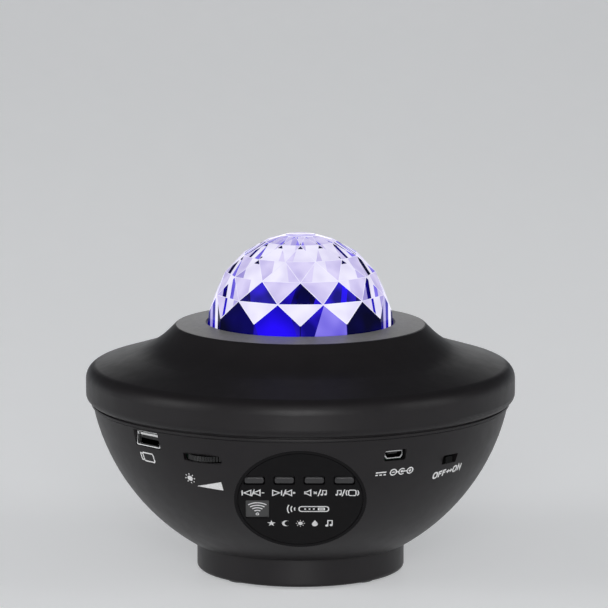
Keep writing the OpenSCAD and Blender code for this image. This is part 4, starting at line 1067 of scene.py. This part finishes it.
def make_faceplate(material):
    """The round faceplate, with the recesses of the buttons and the window's place, and the ring round it."""
    holes = [rounded(middle_mm(node), BUTTON_ROW + BUTTON_UP, *RECESS) for node in BUTTONS.values()]
    low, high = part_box("receiver_window")
    window = ((high.x - low.x) * 1000 + 2 * WINDOW_GAP, WINDOW_H + 2 * WINDOW_GAP, WINDOW_CORNER)
    holes.append(rounded(middle_mm("receiver_window"), WINDOW_ROW, *window))
    built = bmesh.new()
    place = on_panel(0, 0)
    plate, *ring = [round_loop(0, 0, r, FACEPLATE_SIDES) for r in (FACEPLATE_R, *EDGE_RING)]
    add_prism(built, [plate] + holes, place, -FACEPLATE_T, FACE_UP)
    add_prism(built, ring, place, EDGE_RING_FOOT, FACE_UP)
    plate = mesh_piece("faceplate", built, [material])
    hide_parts("panel_faceplate")


def make_button_caps(material):
    """Each button from its stem up: stem, flange and a ribbed cap with a bevelled edge."""
    width, height, corner = CAP
    stem = [(round_loop(0, -BUTTON_UP, STEM_R), lift) for lift in STEM_LIFTS]
    flange = [(rounded(0, -BUTTON_UP, *FLANGE), lift) for lift in FLANGE_LIFTS]
    cap = [(rounded(0, 0, *CAP), lift) for lift in CAP_LIFTS]
    cap.append((rounded(0, 0, width - 2 * CAP_BEVEL, height - 2 * CAP_BEVEL, corner - CAP_BEVEL), CAP_TOP))
    forms = [stem, flange, cap]
    for k in range(RIBS):
        u = (k - (RIBS - 1) / 2) * RIB_PITCH
        forms.append([(rounded(u, 0, RIB_W, height - RIB_SHORTER, RIB_CORNER), lift) for lift in RIB_LIFTS])
    for body, node in BUTTONS.items():
        built = bmesh.new()
        for form in forms:
            add_loft(built, form, on_panel(middle_mm(node), BUTTON_ROW + BUTTON_UP))
        piece = mesh_piece(f"cap_{body}", built, [material], body)
        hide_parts(node)


# ---- Thumbwheel and the frame of its slot, with boxes and lifts as above

WHEEL_AZIMUTH = -28
WHEEL_R = 9
WHEEL_T = 1.9
WHEEL_BORE = 1.65
RIDGES = 48
RIDGE_H = 0.4
SLOT = (16.42, 3.56, 0.48)
SLOT_MOUTH = (15.9, 2.7, 0.4)
SLOT_DEPTH = 2.2
SLOT_STEP = 1


def dense(loop):
    """The outline with points no further apart than about a step."""
    points = []
    for (u, v), (next_u, next_v) in zip(loop, loop[1:] + loop[:1]):
        count = max(1, round(math.dist((u, v), (next_u, next_v)) / SLOT_STEP))
        points += [(u + (next_u - u) * i / count, v + (next_v - v) * i / count) for i in range(count)]
    return points


def in_wall(azimuth, middle):
    """Puts a sketch on the bowl's wall, round an azimuth and a height, with its depth straight in."""
    out = outward(azimuth)
    across = UP.cross(out)

    def place(u, v, lift):
        height = middle + mm(v)
        surface = math.sqrt(BOWL_R**2 - mm(u) ** 2 - (height - BOWL_CENTRE.z) ** 2)
        return mm(u) * across + (surface + lift) * out + height * UP

    return place


def make_thumbwheel(wheel_material, housing_material):
    """The ridged wheel, and the frame that narrows the housing's slot to it."""
    low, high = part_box("brightness_wheel")
    middle = (low + high) / 2

    def flat(u, v, lift):
        return middle + Vector((mm(u), mm(v), lift))

    built = bmesh.new()
    ridged = [turn(WHEEL_R - i % 2 * RIDGE_H, i * 180 / RIDGES) for i in range(2 * RIDGES)]
    add_prism(built, [ridged, round_loop(0, 0, WHEEL_BORE)], flat, -WHEEL_T / 2, WHEEL_T / 2)
    wheel = mesh_piece("thumbwheel", built, [wheel_material], "brightness")
    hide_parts("brightness_wheel")
    built = bmesh.new()
    outlines = [dense(rounded(0, 0, *size)) for size in (SLOT, SLOT_MOUTH)]
    add_prism(built, outlines, in_wall(WHEEL_AZIMUTH, middle.z), -SLOT_DEPTH, 0)
    mesh_piece("wheel_slot_frame", built, [housing_material])


# ---- Room

FLOOR_SIZE = 40
FLOOR_COLOUR = grey(0.74, (1, 1.005, 1.02))
# What the camera sees on top of the lamps' light: the floor's glow, and a band of the world that fades out
# between two heights of a view's direction
FLOOR_GLOW = 0.34
FLOOR_GLOW_COLOUR = grey(1, (0.97, 0.985, 1))
HORIZON = 0.46
HORIZON_FADE = (0.06, 0.16)
WORLD_LIGHT = 0.09
WORLD_COLOUR = (0.9, 0.94, 1, 1)
# Each lamp's place, its width and height, and its power in watts
LAMPS = {
    "left_box": ((-3.2, -1, 1.35), (1.8, 2.2), 34),
    "right_box": ((3.2, -1, 1.35), (1.8, 2.2), 26),
    "top_box": ((0, -3, 3.3), (3.2, 1.4), 15),
    "back_box": ((0, 5.2, 1.05), (2.2, 0.8), 10),
    "front_box": ((0, -4.6, 1.25), (1.8, 2.3), 100),
}
LAMP_AIM = Vector((0, 0, 0.08))


def make_floor():
    half = FLOOR_SIZE / 2
    corners = [(-half, -half, 0), (half, -half, 0), (half, half, 0), (-half, half, 0)]
    mesh = bpy.data.meshes.new("floor")
    mesh.from_pydata(corners, [], [(0, 1, 2, 3)])
    floor = placed("floor", mesh)
    floor.location.z = cad_bounds[0][2]
    make = Maker("floor")
    make.mottle(FLOOR_COLOUR, spread=0.01, size=0.6)
    make.uneven(make.noise(0.02), 0.6, 0.7)
    make.set(Specular_IOR_Level=0.2)
    make.set(Emission_Color=FLOOR_GLOW_COLOUR, Emission_Strength=make.seen(FLOOR_GLOW))
    mesh.materials.append(make.material)


def make_world():
    """A dim room, with a pale band where the camera sees past the floor's edge."""
    world = bpy.data.worlds.new("world")
    sky = Tree(world)
    way = sky.node("ShaderNodeSeparateXYZ", {"Vector": sky.coords.outputs["Generated"]})
    band = sky.ranged(way.outputs["Z"], *HORIZON_FADE, 1, 0)
    shown = sky.calculated("MULTIPLY", band, sky.seen(HORIZON))
    strength = sky.calculated("ADD", shown, WORLD_LIGHT)
    sky.give(sky.tree.nodes["Background"], {"Color": WORLD_COLOUR, "Strength": strength})
    bpy.context.scene.world = world


def make_lamps():
    for name, (place, size, power) in LAMPS.items():
        data = bpy.data.lights.new(name, "AREA")
        data.shape = "RECTANGLE"
        data.size, data.size_y = size
        data.energy = power
        lamp = placed(name, data)
        lamp.location = place
        lamp.rotation_euler = (LAMP_AIM - Vector(place)).to_track_quat("-Z", "Y").to_euler()


make_camera()
slots = node_materials()
paint_nodes(slots)
make_dome()
make_faceplate(slots["panel_gloss"])
make_button_caps(slots["button_plastic"])
make_thumbwheel(slots["wheel_plastic"], slots["housing_plastic"])
white_ink = ink("white_ink", grey(0.95))
make_bowl_prints(white_ink)
make_panel_prints(white_ink)
make_floor()
make_world()
make_lamps()
bpy.context.scene.view_settings.view_transform = "Standard"
